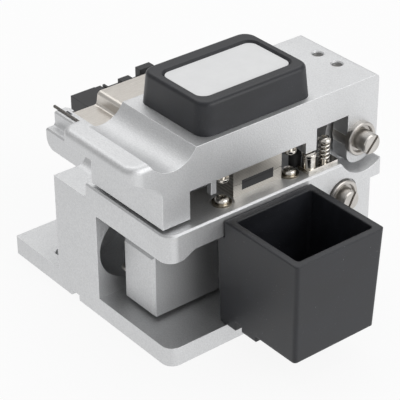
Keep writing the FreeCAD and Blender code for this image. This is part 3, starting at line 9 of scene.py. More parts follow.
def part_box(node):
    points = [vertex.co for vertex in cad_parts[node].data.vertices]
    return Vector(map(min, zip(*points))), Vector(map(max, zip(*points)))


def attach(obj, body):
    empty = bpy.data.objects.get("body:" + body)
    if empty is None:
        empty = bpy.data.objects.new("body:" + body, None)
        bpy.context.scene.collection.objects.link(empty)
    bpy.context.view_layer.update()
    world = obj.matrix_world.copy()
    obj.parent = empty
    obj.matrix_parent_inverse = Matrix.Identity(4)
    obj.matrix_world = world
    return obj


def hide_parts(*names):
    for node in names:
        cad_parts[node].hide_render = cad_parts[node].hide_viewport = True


# Looks of the bench fibre cleaver, in the row frame of the CAD model.
# Blender's lengths are metres. Sizes below are millimetres unless a comment says otherwise.

MM = 0.001

# Rounding of edges in the shading, and how far the rounded normal agrees with the flat one
# at a sharp edge and on a plain face.
BEVEL_SAMPLES = 6
EDGE_AGREES = 0.75
FACE_AGREES = 0.96

# Scale at which the Wave node draws one line per unit of length.
WAVE_SCALE = math.pi / 10

# Smallest angle between two faces that shows as an edge.
SHARP_ANGLE = math.radians(35)

# Turn of the first copy of a screw, and from each copy to the next, in radians.
FIRST_TURN = 0.4
NEXT_TURN = 0.7

# Tone of the black plastic.
PLASTIC_TONE = (0.0115, 0.0125, 0.016)

# Domed screw heads. The shares are of the head's radius and thickness.
CLAMP_HEAD_RADIUS = 1.7
CLAMP_HEAD_THICK = 1.4
CLAMP_SHANK_RADIUS = 0.9
SPRING_HEAD_THICK = 1.3
SPRING_SHANK_SHARE = 0.53
DOME_STEPS = 6
DOME_SHARE = 0.65
HEAD_FOOT_SHARE = 0.95
HEAD_FOOT_HEIGHT = 0.1
RECESS_REACH_SHARE = 0.56
RECESS_WIDTH_SHARE = 0.14
RECESS_FLOOR_SHARE = 0.4
RECESS_TOP_SHARE = 1.2
RECESS_TAPER = 0.55

# Stud beside the spring.
STUD_RADIUS = 1.75
STUD_ROUND = 0.35
STUD_ROUND_STEPS = 5
STUD_HEAD = 0.9
STUD_STEP = 0.12
STUD_STEP_FOOT = 1.05
STUD_SOCKET_SHARE = 0.42
STUD_SOCKET_DEPTH = 0.8
STUD_SOCKET_TAPER = 0.6

# How far the tools that cut sockets and slots stand out of the metal.
SOCKET_CLEAR = 0.5
SLOT_CLEAR = 1.0

# Grub screws of the lid.
GRUB_CHAMFER = 0.25
GRUB_SOCKET_SHARE = 0.58
GRUB_SOCKET_DEPTH = 1.4

# Slotted pins of the hinge and the rear block, and the lean of each one's slot in degrees.
PIN_CHAMFER = 0.3
SLOT_WIDTH = 0.8
SLOT_DEPTH = 1.0
SLOT_LEANS = {"hinge_shaft": -42, "side_screw": -28}

# Dished rings round these pins, and the radius of the sleeve behind a ring's flange.
RING_RADIUS = 4.3
RING_THICK = 1.5
RING_BORE = 2.64
RING_LIP = [(3.5, 0.0), (4.08, 0.0), (RING_RADIUS, -0.22)]
RING_DISH = [(RING_BORE, -1.2), (3.25, -1.2), (3.4, -1.1), (3.4, -0.1)]
RING_SLEEVES = {"hinge_bush_right": 3.74, "side_washer": None}

# Facets round a small piece, the turned pieces and the toothed pin.
SMALL_FACETS = 40
TURNED_FACETS = 64
TOOTHED_FACETS = 24

# Spring beside the stud.
WIRE_RADIUS = 0.26
SPRING_TURNS = 4.5
SPRING_POINTS = 180

# Toothed pin in the fence. The shares are of its radius and of the pitch of its teeth.
TOOTH_PITCH = 0.45
TOOTH_ROOT_SHARE = 0.72
TOOTH_SHARES = (0.3, 0.55, 0.85)

# Stage, in metres and watts. Each lamp has a place, a size and a power.
FLOOR_SIZE = 8.0
FLOOR_DROP = 0.0002
FLOOR_WHITE = 0.9
SKY_STRENGTH = 0.5
LIT_SPOT = (0.0, 0.0, 0.03)
LAMPS = {
    "overhead": ((-0.3, 0.2, 0.75), 0.9, 2.9),
    "right": ((0.85, 0.3, 0.45), 0.85, 4.8),
}

# Camera fitted to the photograph, its place in metres.
CAMERA_PLACE = (0.28374, -0.22238, 0.23957)
CAMERA_AZIMUTH = math.radians(51.51)
CAMERA_ELEVATION = math.radians(31.51)
CAMERA_ROLL = math.radians(-0.39)
CAMERA_LENS = 155.1
SENSOR_WIDTH = 36.0

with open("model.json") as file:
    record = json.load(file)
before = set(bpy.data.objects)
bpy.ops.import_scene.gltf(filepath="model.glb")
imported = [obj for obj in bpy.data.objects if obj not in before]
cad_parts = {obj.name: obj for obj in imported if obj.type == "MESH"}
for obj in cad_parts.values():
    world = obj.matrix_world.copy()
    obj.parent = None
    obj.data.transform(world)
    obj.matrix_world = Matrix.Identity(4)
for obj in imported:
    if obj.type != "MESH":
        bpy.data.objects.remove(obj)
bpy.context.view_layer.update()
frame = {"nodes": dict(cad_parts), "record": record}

NODES = frame["nodes"]
scene = bpy.context.scene
scene.view_settings.view_transform = "Standard"


def link(obj):
    """Put a new object in the scene."""
    scene.collection.objects.link(obj)
    return obj


class Material:
    """A procedural material with a short way to add nodes and wire them up."""

    def __init__(self, name):
        self.material = bpy.data.materials.new(name)
        self.material.use_nodes = True
        self.tree = self.material.node_tree
        self.shader = self.tree.nodes["Principled BSDF"]
        self.coordinates = self.tree.nodes.new("ShaderNodeTexCoord").outputs["Object"]

    def set(self, **values):
        """Set sockets of the shader that hold one value all over."""
        for name, value in values.items():
            socket = self.shader.inputs[name.replace("_", " ")]
            socket.default_value = (*value, 1.0) if isinstance(value, tuple) else value
        return self

    def node(self, kind, **values):
        """Add a node, setting its properties and its inputs by name."""
        node = self.tree.nodes.new(kind)
        for name, value in values.items():
            if hasattr(node, name):
                setattr(node, name, value)
            else:
                self.feed(node.inputs[name.replace("_", " ")], value)
        return node

    def feed(self, socket, value):
        """Wire an output into a socket, or set the socket to a plain value."""
        if isinstance(value, bpy.types.NodeSocket):
            self.tree.links.new(value, socket)
        else:
            socket.default_value = value

    def math(self, operation, first, second=0.0):
        """Result of a sum on two values."""
        node = self.tree.nodes.new("ShaderNodeMath")
        node.operation = operation
        self.feed(node.inputs[0], first)
        self.feed(node.inputs[1], second)
        return node.outputs[0]

    def sum_of(self, first, first_share, second, second_share):
        """Sum of two values, each times its share."""
        part = self.math("MULTIPLY", first, first_share)
        return self.math("ADD", part, self.math("MULTIPLY", second, second_share))

    def spots_at(
        self, across, turn=(0.0, 0.0, 0.0), stretch=(1.0, 1.0, 1.0), detail=3.0, roughness=0.6
    ):
        """Noise with features about so many millimetres across, stretched along a turned axis."""
        mapping = self.node("ShaderNodeMapping", Vector=self.coordinates)
        mapping.inputs["Rotation"].default_value = turn
        mapping.inputs["Scale"].default_value = tuple(part / (across * MM) for part in stretch)
        noise = self.node("ShaderNodeTexNoise", Vector=mapping.outputs["Vector"])
        noise.inputs["Scale"].default_value = 1.0
        noise.inputs["Detail"].default_value = detail
        noise.inputs["Roughness"].default_value = roughness
        return noise.outputs["Fac"]

    def hatch(self, period, slant):
        """Wavering parallel lines so many millimetres apart, slanted about X."""
        mapping = self.node("ShaderNodeMapping", Vector=self.coordinates)
        mapping.inputs["Rotation"].default_value = (slant, 0.0, 0.0)
        mapping.inputs["Scale"].default_value = (1 / MM, 1 / MM, 1 / MM)
        wave = self.node("ShaderNodeTexWave", Vector=mapping.outputs["Vector"], bands_direction="Z")
        wave.inputs["Scale"].default_value = WAVE_SCALE / period
        wave.inputs["Distortion"].default_value = 2.5
        wave.inputs["Detail"].default_value = 3.0
        return wave.outputs["Fac"]

    def between(self, value, low, high, first=0.3, last=0.7):
        """Map a value from first to last onto low to high."""
        node = self.node("ShaderNodeMapRange", Value=value)
        node.inputs["From Min"].default_value = first
        node.inputs["From Max"].default_value = last
        node.inputs["To Min"].default_value = low
        node.inputs["To Max"].default_value = high
        return node.outputs["Result"]

    def shades(self, value, dark, light, first=0.3, last=0.7):
        """Colour that goes from dark to light with a value."""
        node = self.node("ShaderNodeValToRGB", Fac=value)
        node.color_ramp.elements[0].position = first
        node.color_ramp.elements[0].color = (*dark, 1.0)
        node.color_ramp.elements[1].position = last
        node.color_ramp.elements[1].color = (*light, 1.0)
        return node.outputs["Color"]

    def blend_colors(self, amount, first, second):
        """Go from one colour to another by an amount from 0 to 1."""
        node = self.tree.nodes.new("ShaderNodeMix")
        node.data_type = "RGBA"
        self.feed(node.inputs[0], amount)
        for socket, color in ((node.inputs[6], first), (node.inputs[7], second)):
            self.feed(socket, (*color, 1.0) if isinstance(color, tuple) else color)
        return node.outputs[2]

    def rounded(self, radius):
        """Normal of the surface with its edges rounded by so many millimetres."""
        bevel = self.node("ShaderNodeBevel", samples=BEVEL_SAMPLES)
        bevel.inputs["Radius"].default_value = radius * MM
        return bevel.outputs["Normal"]

    def edges(self, reach):
        """Mask that is 1 on sharp edges and 0 more than so many millimetres away from them."""
        flat = self.node("ShaderNodeNewGeometry").outputs["Normal"]
        along = self.node("ShaderNodeVectorMath", operation="DOT_PRODUCT")
        self.feed(along.inputs[0], self.rounded(reach))
        self.feed(along.inputs[1], flat)
        return self.between(along.outputs["Value"], 1.0, 0.0, EDGE_AGREES, FACE_AGREES)

    def paint(self, name, output):
        """Wire an output into a socket of the shader."""
        self.tree.links.new(output, self.shader.inputs[name])
        return self

    def bump(self, height, distance, strength=1.0, soften=None):
        """Raise the surface by a height times a distance, with edges softened, in millimetres."""
        bump = self.node("ShaderNodeBump", Height=height)
        bump.inputs["Distance"].default_value = distance * MM
        bump.inputs["Strength"].default_value = strength
        if soften:
            self.feed(bump.inputs["Normal"], self.rounded(soften))
        return self.paint("Normal", bump.outputs["Normal"])


def blasted_aluminium():
    """Bead-blasted, clear-anodised aluminium: fine grain, faint smudges and a painted highlight on
    edges.
    """
    look = Material("blasted_aluminium").set(Metallic=1.0)
    speckle = look.spots_at(0.35, detail=2.0, roughness=0.7)
    smudge = look.spots_at(14.0, detail=2.0)
    tone = look.sum_of(speckle, 0.7, smudge, 0.3)
    skin = look.shades(tone, (0.63, 0.635, 0.642), (0.74, 0.745, 0.752), 0.36, 0.64)
    # Sharp edges get a painted highlight, near-white, and a little less roughness.
    highlight_edge = look.edges(0.22)
    look.paint("Base Color", look.blend_colors(highlight_edge, skin, (0.97, 0.975, 0.98)))
    rough = look.between(smudge, 0.5, 0.54)
    look.paint("Roughness", look.math("SUBTRACT", rough, look.math("MULTIPLY", highlight_edge, 0.1)))
    return look.bump(speckle, 0.055, 1.0, soften=0.16).material


def ground_steel():
    """Ground steel with fine lines across the face at a slant."""
    look = Material("ground_steel").set(Metallic=1.0)
    lines = look.hatch(0.42, math.radians(-60))
    stain = look.spots_at(2.5)
    tone = look.sum_of(lines, 0.7, stain, 0.3)
    look.paint("Base Color", look.shades(tone, (0.44, 0.415, 0.375), (0.66, 0.63, 0.58), 0.2, 0.8))
    look.paint("Roughness", look.between(stain, 0.36, 0.42))
    return look.bump(lines, 0.001, 0.5, soften=0.1).material


def nickel():
    """Bright nickel plate with slight tarnish."""
    look = Material("nickel").set(Metallic=1.0)
    tarnish = look.spots_at(1.1, detail=3.0)
    wear = look.spots_at(0.2, detail=2.0)
    look.paint("Base Color", look.shades(tarnish, (0.56, 0.53, 0.48), (0.8, 0.775, 0.73)))
    look.paint("Roughness", look.between(tarnish, 0.1, 0.2))
    return look.bump(wear, 0.004, 0.5, soften=0.12).material


def turned_steel():
    """Turned steel with fine tool marks round the axis and a warm cast."""
    look = Material("turned_steel").set(Metallic=1.0)
    marks = look.spots_at(0.12, stretch=(1.0, 0.05, 0.05), detail=2.0)
    stain = look.spots_at(3.0)
    tone = look.sum_of(marks, 0.3, stain, 0.7)
    look.paint("Base Color", look.shades(tone, (0.5, 0.478, 0.45), (0.64, 0.615, 0.585)))
    look.paint("Roughness", look.between(stain, 0.3, 0.36))
    return look.bump(marks, 0.0005, 0.2, soften=0.06).material


def rolled_steel():
    """Thin spring steel with a warm rolled finish, fine lines along Y, small stains and a painted
    highlight on edges.
    """
    look = Material("rolled_steel").set(Metallic=1.0)
    lines = look.spots_at(0.12, stretch=(1.0, 0.03, 1.0), detail=3.0)
    stain = look.spots_at(0.9, detail=4.0, roughness=0.7)
    tone = look.sum_of(lines, 0.8, stain, 0.2)
    skin = look.shades(tone, (0.6, 0.565, 0.52), (0.74, 0.705, 0.66), 0.36, 0.62)
    # Sharp edges are painted pale as a highlight.
    look.paint("Base Color", look.blend_colors(look.edges(0.12), skin, (0.88, 0.86, 0.83)))
    look.paint("Roughness", look.between(stain, 0.3, 0.36))
    return look.bump(lines, 0.004, 0.6, soften=0.06).material


def dark_nickel():
    """Washers: nickel gone dark and slightly yellow."""
    look = Material("dark_nickel").set(Metallic=1.0)
    tarnish = look.spots_at(0.9)
    look.paint("Base Color", look.shades(tarnish, (0.36, 0.32, 0.26), (0.62, 0.57, 0.48)))
    look.paint("Roughness", look.between(tarnish, 0.16, 0.28))
    return look.bump(tarnish, 0.006, 0.4, soften=0.1).material


def moulded_black(name, tone, roughness, grain_size, depth, specks, soften=0.25):
    """Black moulded plastic with an eroded grain, fine scuffs, pale dust and a painted highlight on
    edges.
    """
    look = Material(name).set(Specular_IOR_Level=0.5)
    grain = look.spots_at(grain_size, detail=2.0)
    slant = (0.3, 0.2, 0.7)
    scuff = look.spots_at(2.2, slant, stretch=(1.0, 0.12, 0.3), detail=5.0, roughness=0.7)
    dust = look.between(look.spots_at(0.28, detail=1.0), 0.0, 1.0, 0.72, 0.8)
    patches = look.between(look.spots_at(6.0), 0.0, specks, 0.4, 0.7)
    sparse = look.math("MULTIPLY", dust, patches)
    dark = tuple(0.75 * part for part in tone)
    light = tuple(1.6 * part for part in tone)
    skin = look.shades(scuff, dark, light, 0.35, 0.75)
    # Sharp edges are painted lighter as a highlight.
    skin = look.blend_colors(look.edges(0.2), skin, tuple(3.2 * part for part in tone))
    look.paint("Base Color", look.blend_colors(sparse, skin, (0.3, 0.3, 0.31)))
    look.paint("Roughness", look.between(scuff, roughness, roughness + 0.12))
    return look.bump(grain, depth, 0.6, soften).material


def rubber():
    """Matt black rubber with a sanded face."""
    look = Material("rubber")
    grain = look.spots_at(0.2)
    look.paint("Base Color", look.shades(grain, (0.016, 0.016, 0.017), (0.04, 0.04, 0.041)))
    look.paint("Roughness", look.between(grain, 0.55, 0.75))
    return look.bump(grain, 0.012, 0.6, soften=0.1).material


def label_film():
    """Bare satin label film, off-white, with a very faint texture."""
    look = Material("label_film").set(Coat_Weight=0.25, Coat_Roughness=0.2)
    mottle = look.spots_at(3.0)
    fine = look.spots_at(0.35)
    look.paint("Base Color", look.shades(mottle, (0.735, 0.74, 0.745), (0.765, 0.77, 0.775)))
    look.paint("Roughness", look.between(fine, 0.38, 0.46))
    return look.bump(fine, 0.003, 0.4, soften=0.1).material


def blade_metal():
    """Lapped hard metal of the blade wheel."""
    look = Material("blade_metal").set(Metallic=1.0)
    lines = look.spots_at(0.1, stretch=(0.2, 1.0, 1.0))
    look.paint("Base Color", look.shades(lines, (0.4, 0.41, 0.43), (0.6, 0.61, 0.63)))
    look.paint("Roughness", look.between(lines, 0.12, 0.22))
    return look.bump(lines, 0.004, 0.4, soften=0.05).material


def magnet_plate():
    """Plated magnet."""
    look = Material("magnet_plate").set(Metallic=1.0)
    tarnish = look.spots_at(0.8)
    look.paint("Base Color", look.shades(tarnish, (0.57, 0.57, 0.58), (0.64, 0.64, 0.65)))
    look.paint("Roughness", look.between(tarnish, 0.34, 0.4))
    return look.bump(tarnish, 0.001, 0.4, soften=0.1).material


def dark_thread():
    """Dark steel of the toothed pin, bright on the crests of its teeth."""
    look = Material("dark_thread").set(Metallic=1.0)
    wear = look.spots_at(0.25, detail=3.0)
    skin = look.shades(wear, (0.1, 0.095, 0.09), (0.28, 0.265, 0.25))
    look.paint("Base Color", look.blend_colors(look.edges(0.05), skin, (0.8, 0.77, 0.72)))
    look.paint("Roughness", look.between(wear, 0.22, 0.35))
    return look.bump(wear, 0.004, 0.5).material


# Look of each material slot of the record.
LOOKS = {
    "blasted_aluminium": blasted_aluminium(),
    "clamp_steel": ground_steel(),
    "screw_nickel": nickel(),
    "turned_steel": turned_steel(),
    "leaf_steel": rolled_steel(),
    "washer_brass": dark_nickel(),
    "pad_black": moulded_black("pad_black", PLASTIC_TONE, 0.34, 0.3, 0.014, 0.5),
    "bin_black": moulded_black("bin_black", PLASTIC_TONE, 0.36, 0.3, 0.02, 1.0, 0.7),
    "strip_black": moulded_black("strip_black", (0.016, 0.016, 0.018), 0.36, 0.25, 0.012, 0.3),
    "clamp_rubber": rubber(),
    "label_white": label_film(),
    "magnet_steel": magnet_plate(),
    "blade_carbide": blade_metal(),
}

# Material slot of each CAD node.
slots = {entry["node"]: entry["material_slot"] for entry in frame["record"]["subparts"]}


def dress_nodes():
    """Give each CAD node the look of its material slot."""
    for node, slot_name in slots.items():
        obj = NODES[node]
        look = LOOKS[slot_name]
        if obj.material_slots:
            for slot in obj.material_slots:
                slot.material = look
        else:
            obj.data.materials.append(look)


def body_of(name):
    """Body that a CAD node rides on."""
    bodies = frame["record"]["behaviour"]["bodies"]
    return next(body for body, nodes in bodies.items() if name in nodes)


def middle_of(low, high):
    """Middle of a box."""
    return [(a + b) / 2 for a, b in zip(low, high)]


def length_of(low, high, axis):
    """Length of a box along an axis, in millimetres."""
    return (high[axis] - low[axis]) / MM


def ring_of(shape, radius, height, segments):
    """Vertices of one level of a turned shape, a single one on the axis."""
    if radius == 0.0:
        return [shape.verts.new((0.0, 0.0, height * MM))]
    ring = []
    for index in range(segments):
        turn = 2 * math.pi * index / segments
        x, y = radius * math.cos(turn), radius * math.sin(turn)
        ring.append(shape.verts.new((x * MM, y * MM, height * MM)))
    return ring


def lathe(profile, segments=SMALL_FACETS, hollow=False):
    """Closed turned shape from radii and heights, top to foot or round a hollow ring."""
    shape = bmesh.new()
    rings = [ring_of(shape, radius, height, segments) for radius, height in profile]
    following = rings[1:] + rings[:1] if hollow else rings[1:]
    for upper, lower in zip(rings, following):
        for index in range(segments):
            after = (index + 1) % segments
            if len(upper) == 1:
                shape.faces.new((upper[0], lower[index], lower[after]))
            elif len(lower) == 1:
                shape.faces.new((upper[index], lower[0], upper[after]))
            else:
                shape.faces.new((upper[index], lower[index], lower[after], upper[after]))
    bmesh.ops.recalc_face_normals(shape, faces=shape.faces)
    return shape


def tapered_prism(outline, low, high, narrow):
    """Upright body over an outline, its foot narrower by a factor, for cutting a recess."""
    shape = bmesh.new()
    count = len(outline)
    for level, scale in ((low, narrow), (high, 1.0)):
        for x, y in outline:
            shape.verts.new((x * scale * MM, y * scale * MM, level * MM))
    shape.verts.ensure_lookup_table()
    foot, top = list(shape.verts)[:count], list(shape.verts)[count:]
    shape.faces.new(reversed(foot))
    shape.faces.new(top)
    for index in range(count):
        after = (index + 1) % count
        shape.faces.new([foot[index], foot[after], top[after], top[index]])
    return shape


def hexagon(radius, low, high, narrow=1.0):
    """Six-sided body for cutting a socket."""
    turns = [math.pi * index / 3 for index in range(6)]
    outline = [(radius * math.cos(turn), radius * math.sin(turn)) for turn in turns]
    return tapered_prism(outline, low, high, narrow)


def cross(arm, width, low, high):
    """Cross-shaped body for cutting the recess of a screw head."""
    quarter = [(arm, -width), (arm, width), (width, width)]
    outline = list(quarter)
    for _ in range(3):
        quarter = [(-y, x) for x, y in quarter]
        outline += quarter
    return tapered_prism(outline, low, high, RECESS_TAPER)


def slab(width, reach, low, high):
    """Upright slab for cutting a screwdriver slot."""
    shape = bmesh.new()
    bmesh.ops.create_cube(shape, size=2.0)
    for vert in shape.verts:
        level = high if vert.co.z > 0 else low
        vert.co = (vert.co.x * reach * MM, vert.co.y * width / 2 * MM, level * MM)
    return shape


def to_object(name, shape):
    """Object made from a bmesh, which is freed."""
    mesh = bpy.data.meshes.new(name)
    shape.to_mesh(mesh)
    shape.free()
    return link(bpy.data.objects.new(name, mesh))


def evaluated_mesh(obj):
    """Mesh of an object with its modifier or curve worked out."""
    graph = bpy.context.evaluated_depsgraph_get()
    return bpy.data.meshes.new_from_object(obj.evaluated_get(graph))


def carve(shape, cutter):
    """Mesh of one shape with another cut out of it."""
    body = to_object("carve_body", shape)
    tool = to_object("carve_tool", cutter)
    step = body.modifiers.new("carve", "BOOLEAN")
    step.operation = "DIFFERENCE"
    step.solver = "EXACT"
    step.object = tool
    mesh = evaluated_mesh(body)
    for item in (body, tool):
        old = item.data
        bpy.data.objects.remove(item)
        bpy.data.meshes.remove(old)
    return mesh


def place_copies(name, mesh, spots, down=False):
    """One object with a copy of a mesh at each place, upside down where asked."""
    whole = bmesh.new()
    flip = Matrix.Rotation(math.pi, 4, "X") if down else Matrix.Identity(4)
    for index, spot in enumerate(spots):
        turn = Matrix.Rotation(NEXT_TURN * index + FIRST_TURN, 4, "Z")
        copy = mesh.copy()
        copy.transform(Matrix.Translation(spot) @ flip @ turn)
        whole.from_mesh(copy)
        bpy.data.meshes.remove(copy)
    return to_object(name, whole)


def finish_piece(piece, node, look=None):
    """Let a detailed piece stand for a CAD node, with its body, slot and look."""
    piece.data.materials.clear()
    piece.data.materials.append(look or LOOKS[slots[node]])
    for polygon in piece.data.polygons:
        polygon.use_smooth = True
    piece.data.set_sharp_from_angle(angle=SHARP_ANGLE)
    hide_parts(node)
    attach(piece, body_of(node))


def corner_spots(node, inset, height):
    """Four places inside the corners of a node's box, at a height in metres."""
    low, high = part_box(node)
    return [
        (x, y, height)
        for x in (low[0] + inset * MM, high[0] - inset * MM)
        for y in (low[1] + inset * MM, high[1] - inset * MM)
    ]


def pan_head(radius, thick, stem_radius, stem_length):
    """Domed head with a cross recess, on a plain stem."""
    profile = [(0.0, thick)]
    for index in range(1, DOME_STEPS + 1):
        turn = math.radians(90 * index / DOME_STEPS)
        rise = 1 - DOME_SHARE + DOME_SHARE * math.cos(turn)
        profile.append((radius * math.sin(turn), thick * rise))
    profile += [(radius, HEAD_FOOT_HEIGHT), (radius * HEAD_FOOT_SHARE, 0.0)]
    profile += [(stem_radius, 0.0), (stem_radius, -stem_length), (0.0, -stem_length)]
    reach, width = radius * RECESS_REACH_SHARE, radius * RECESS_WIDTH_SHARE
    floor, top = thick * RECESS_FLOOR_SHARE, thick * RECESS_TOP_SHARE
    return carve(lathe(profile), cross(reach, width, floor, top))


def make_screws():
    """Clamp and spring screws with domed, cross-recessed heads."""
    low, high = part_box("lower_clamp_screws")
    length = length_of(low, high, 2) - CLAMP_HEAD_THICK
    screw = pan_head(CLAMP_HEAD_RADIUS, CLAMP_HEAD_THICK, CLAMP_SHANK_RADIUS, length)
    height = high[2] - CLAMP_HEAD_THICK * MM
    spots = corner_spots("lower_clamp_screws", CLAMP_HEAD_RADIUS, height)
    finish_piece(place_copies("lower_clamp_screw_heads", screw, spots), "lower_clamp_screws")

    low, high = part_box("upper_clamp_screws")
    height = low[2] + CLAMP_HEAD_THICK * MM
    spots = corner_spots("upper_clamp_screws", CLAMP_HEAD_RADIUS, height)
    heads = place_copies("upper_clamp_screw_heads", screw, spots, down=True)
    finish_piece(heads, "upper_clamp_screws")

    low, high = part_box("spring_screw")
    radius = length_of(low, high, 0) / 2
    stem = length_of(low, high, 2) - SPRING_HEAD_THICK
    screw = pan_head(radius, SPRING_HEAD_THICK, radius * SPRING_SHANK_SHARE, stem)
    middle = middle_of(low, high)
    spots = [(middle[0], middle[1], high[2] - SPRING_HEAD_THICK * MM)]
    finish_piece(place_copies("spring_screw_head", screw, spots), "spring_screw")


def make_stud():
    """Stout round-topped stud beside the spring, with a hexagon socket."""
    low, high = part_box("strike_stud")
    length = length_of(low, high, 2)
    radius = STUD_RADIUS
    profile = [(0.0, 0.0)]
    for index in range(1, STUD_ROUND_STEPS + 1):
        turn = math.radians(90 * index / STUD_ROUND_STEPS)
        across = radius - STUD_ROUND + STUD_ROUND * math.sin(turn)
        profile.append((across, STUD_ROUND * (math.cos(turn) - 1)))
    shank = radius - STUD_STEP
    profile += [(radius, -STUD_HEAD), (shank, -STUD_STEP_FOOT), (shank, -length), (0.0, -length)]
    socket = hexagon(
        radius * STUD_SOCKET_SHARE, -STUD_SOCKET_DEPTH, SOCKET_CLEAR, STUD_SOCKET_TAPER
    )
    middle = middle_of(low, high)
    stud = place_copies("stud", carve(lathe(profile), socket), [(middle[0], middle[1], high[2])])
    finish_piece(stud, "strike_stud")


def make_grub_screws():
    """Grub screws with hexagon sockets in the rear of the lid."""
    low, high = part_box("lid_grub_screws")
    length = length_of(low, high, 2)
    radius = length_of(low, high, 1) / 2
    profile = [(0.0, 0.0), (radius - GRUB_CHAMFER, 0.0), (radius, -GRUB_CHAMFER)]
    profile += [(radius, -length), (0.0, -length)]
    socket = hexagon(radius * GRUB_SOCKET_SHARE, -GRUB_SOCKET_DEPTH, SOCKET_CLEAR)
    screw = carve(lathe(profile), socket)
    middle = (low[1] + high[1]) / 2
    spots = [(x, middle, high[2]) for x in (low[0] + radius * MM, high[0] - radius * MM)]
    finish_piece(place_copies("grub_screw_sockets", screw, spots), "lid_grub_screws")


def lay_along_x(name, mesh, node, lean):
    """Turned shape with its top at the right end of a node, rolled about the axis by degrees."""
    low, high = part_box(node)
    middle = middle_of(low, high)
    place = Matrix.Translation((high[0], middle[1], middle[2]))
    roll = Matrix.Rotation(math.radians(lean), 4, "X")
    mesh.transform(place @ roll @ Matrix.Rotation(math.pi / 2, 4, "Y"))
    return link(bpy.data.objects.new(name, mesh))


def make_turned_pieces():
    """Slotted ends of the hinge shaft and side screw, with the dished rings round them."""
    for node, lean in SLOT_LEANS.items():
        low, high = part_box(node)
        radius = length_of(low, high, 1) / 2
        length = length_of(low, high, 0)
        narrow = radius - PIN_CHAMFER
        profile = [(0.0, 0.0), (narrow, 0.0), (radius, -PIN_CHAMFER)]
        profile += [(radius, PIN_CHAMFER - length), (narrow, -length), (0.0, -length)]
        slot = slab(SLOT_WIDTH, radius + SLOT_CLEAR, -SLOT_DEPTH, SLOT_CLEAR)
        mesh = carve(lathe(profile, TURNED_FACETS), slot)
        finish_piece(lay_along_x(f"slotted_{node}", mesh, node, lean), node)
    for node, sleeve in RING_SLEEVES.items():
        low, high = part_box(node)
        length = length_of(low, high, 0)
        profile = list(RING_LIP)
        if sleeve:
            profile += [(RING_RADIUS, -RING_THICK), (sleeve, -RING_THICK)]
        profile += [(sleeve or RING_RADIUS, -length), (RING_BORE, -length)]
        ring = to_object("turned_ring", lathe(profile + RING_DISH, TURNED_FACETS, hollow=True))
        mesh = ring.data
        bpy.data.objects.remove(ring)
        finish_piece(lay_along_x(f"dished_{node}", mesh, node, 0), node)


def make_spring():
    """Round-wire compression spring."""
    low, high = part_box("strike_spring")
    wire = WIRE_RADIUS * MM
    radius = (high[0] - low[0]) / 2 - wire
    middle = middle_of(low, high)
    curve = bpy.data.curves.new("spring_coil", "CURVE")
    curve.dimensions = "3D"
    curve.bevel_depth = wire
    curve.bevel_resolution = 5
    curve.use_fill_caps = True
    line = curve.splines.new("POLY")
    line.points.add(SPRING_POINTS)
    bottom = low[2] + wire
    height = high[2] - wire - bottom
    for index in range(SPRING_POINTS + 1):
        part = index / SPRING_POINTS
        turn = 2 * math.pi * SPRING_TURNS * part
        x = middle[0] + radius * math.cos(turn)
        y = middle[1] + radius * math.sin(turn)
        line.points[index].co = (x, y, bottom + height * part, 1.0)
    coil = link(bpy.data.objects.new("spring_coil", curve))
    mesh = evaluated_mesh(coil)
    bpy.data.objects.remove(coil)
    finish_piece(link(bpy.data.objects.new("coil_spring", mesh)), "strike_spring")


def make_toothed_pin():
    """Pin in the fence groove with fine teeth along its length."""
    low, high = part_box("guide_pin")
    radius = length_of(low, high, 2) / 2
    length = length_of(low, high, 0)
    root = radius * TOOTH_ROOT_SHARE
    rise, crest, fall = (share * TOOTH_PITCH for share in TOOTH_SHARES)
    profile = [(0.0, length)]
    for index in range(round(length / TOOTH_PITCH)):
        start = length - index * TOOTH_PITCH
        profile += [(root, start), (radius, start - rise)]
        profile += [(radius, start - crest), (root, start - fall)]
    profile += [(root, 0.0), (0.0, 0.0)]
    pin = to_object("toothed_pin", lathe(profile, TOOTHED_FACETS))
    middle = middle_of(low, high)
    place = Matrix.Translation((low[0], middle[1], middle[2]))
    pin.data.transform(place @ Matrix.Rotation(math.pi / 2, 4, "Y"))
    finish_piece(pin, "guide_pin", dark_thread())


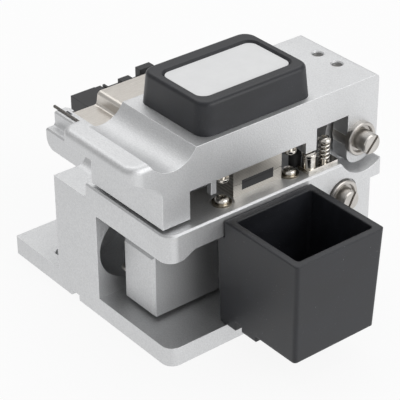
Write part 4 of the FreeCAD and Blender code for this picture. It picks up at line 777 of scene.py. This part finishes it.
def add_floor():
    """Plain pale floor that shows as white where nothing shades it."""
    half = FLOOR_SIZE / 2
    corners = [(-half, -half, 0), (half, -half, 0), (half, half, 0), (-half, half, 0)]
    mesh = bpy.data.meshes.new("floor")
    mesh.from_pydata(corners, [], [(0, 1, 2, 3)])
    floor = link(bpy.data.objects.new("floor", mesh))
    floor.location.z = -FLOOR_DROP
    look = Material("floor")
    look.set(Base_Color=(0.8, 0.8, 0.8), Roughness=0.9, Specular_IOR_Level=0.0)
    rays = look.node("ShaderNodeLightPath")
    white = look.node("ShaderNodeEmission", Color=(1.0, 1.0, 1.0, 1.0), Strength=1.0)
    seen = look.math("MAXIMUM", rays.outputs["Is Camera Ray"], rays.outputs["Is Glossy Ray"])
    seen = look.math("MAXIMUM", seen, rays.outputs["Is Transmission Ray"])
    mix = look.node("ShaderNodeMixShader", Fac=look.math("MULTIPLY", seen, FLOOR_WHITE))
    look.feed(mix.inputs[1], look.shader.outputs["BSDF"])
    look.feed(mix.inputs[2], white.outputs["Emission"])
    look.feed(look.tree.nodes["Material Output"].inputs["Surface"], mix.outputs["Shader"])
    mesh.materials.append(look.material)


def add_lamp(name, place, size, power):
    """Square soft lamp that faces the object."""
    data = bpy.data.lights.new(name, "AREA")
    data.shape = "SQUARE"
    data.size = size
    data.energy = power
    lamp = link(bpy.data.objects.new(name, data))
    lamp.location = place
    aim = Vector(LIT_SPOT) - Vector(place)
    lamp.rotation_euler = aim.to_track_quat("-Z", "Y").to_euler()


def add_light():
    """Soft studio light: a wide lamp overhead, one low on the right, and an even surround."""
    world = bpy.data.worlds.new("studio")
    world.use_nodes = True
    background = world.node_tree.nodes["Background"]
    background.inputs["Color"].default_value = (1.0, 1.0, 1.0, 1.0)
    background.inputs["Strength"].default_value = SKY_STRENGTH
    scene.world = world
    for name, (place, size, power) in LAMPS.items():
        add_lamp(name, place, size, power)


def add_camera():
    """Camera of the photograph."""
    data = bpy.data.cameras.new("camera")
    data.lens = CAMERA_LENS
    data.sensor_width = SENSOR_WIDTH
    camera = link(bpy.data.objects.new("camera", data))
    camera.location = CAMERA_PLACE
    turn = Euler((math.radians(90) - CAMERA_ELEVATION, 0.0, CAMERA_AZIMUTH)).to_matrix()
    camera.rotation_euler = (turn @ Matrix.Rotation(CAMERA_ROLL, 3, "Z")).to_euler()
    scene.camera = camera


dress_nodes()
make_screws()
make_stud()
make_grub_screws()
make_turned_pieces()
make_spring()
make_toothed_pin()
add_floor()
add_light()
add_camera()
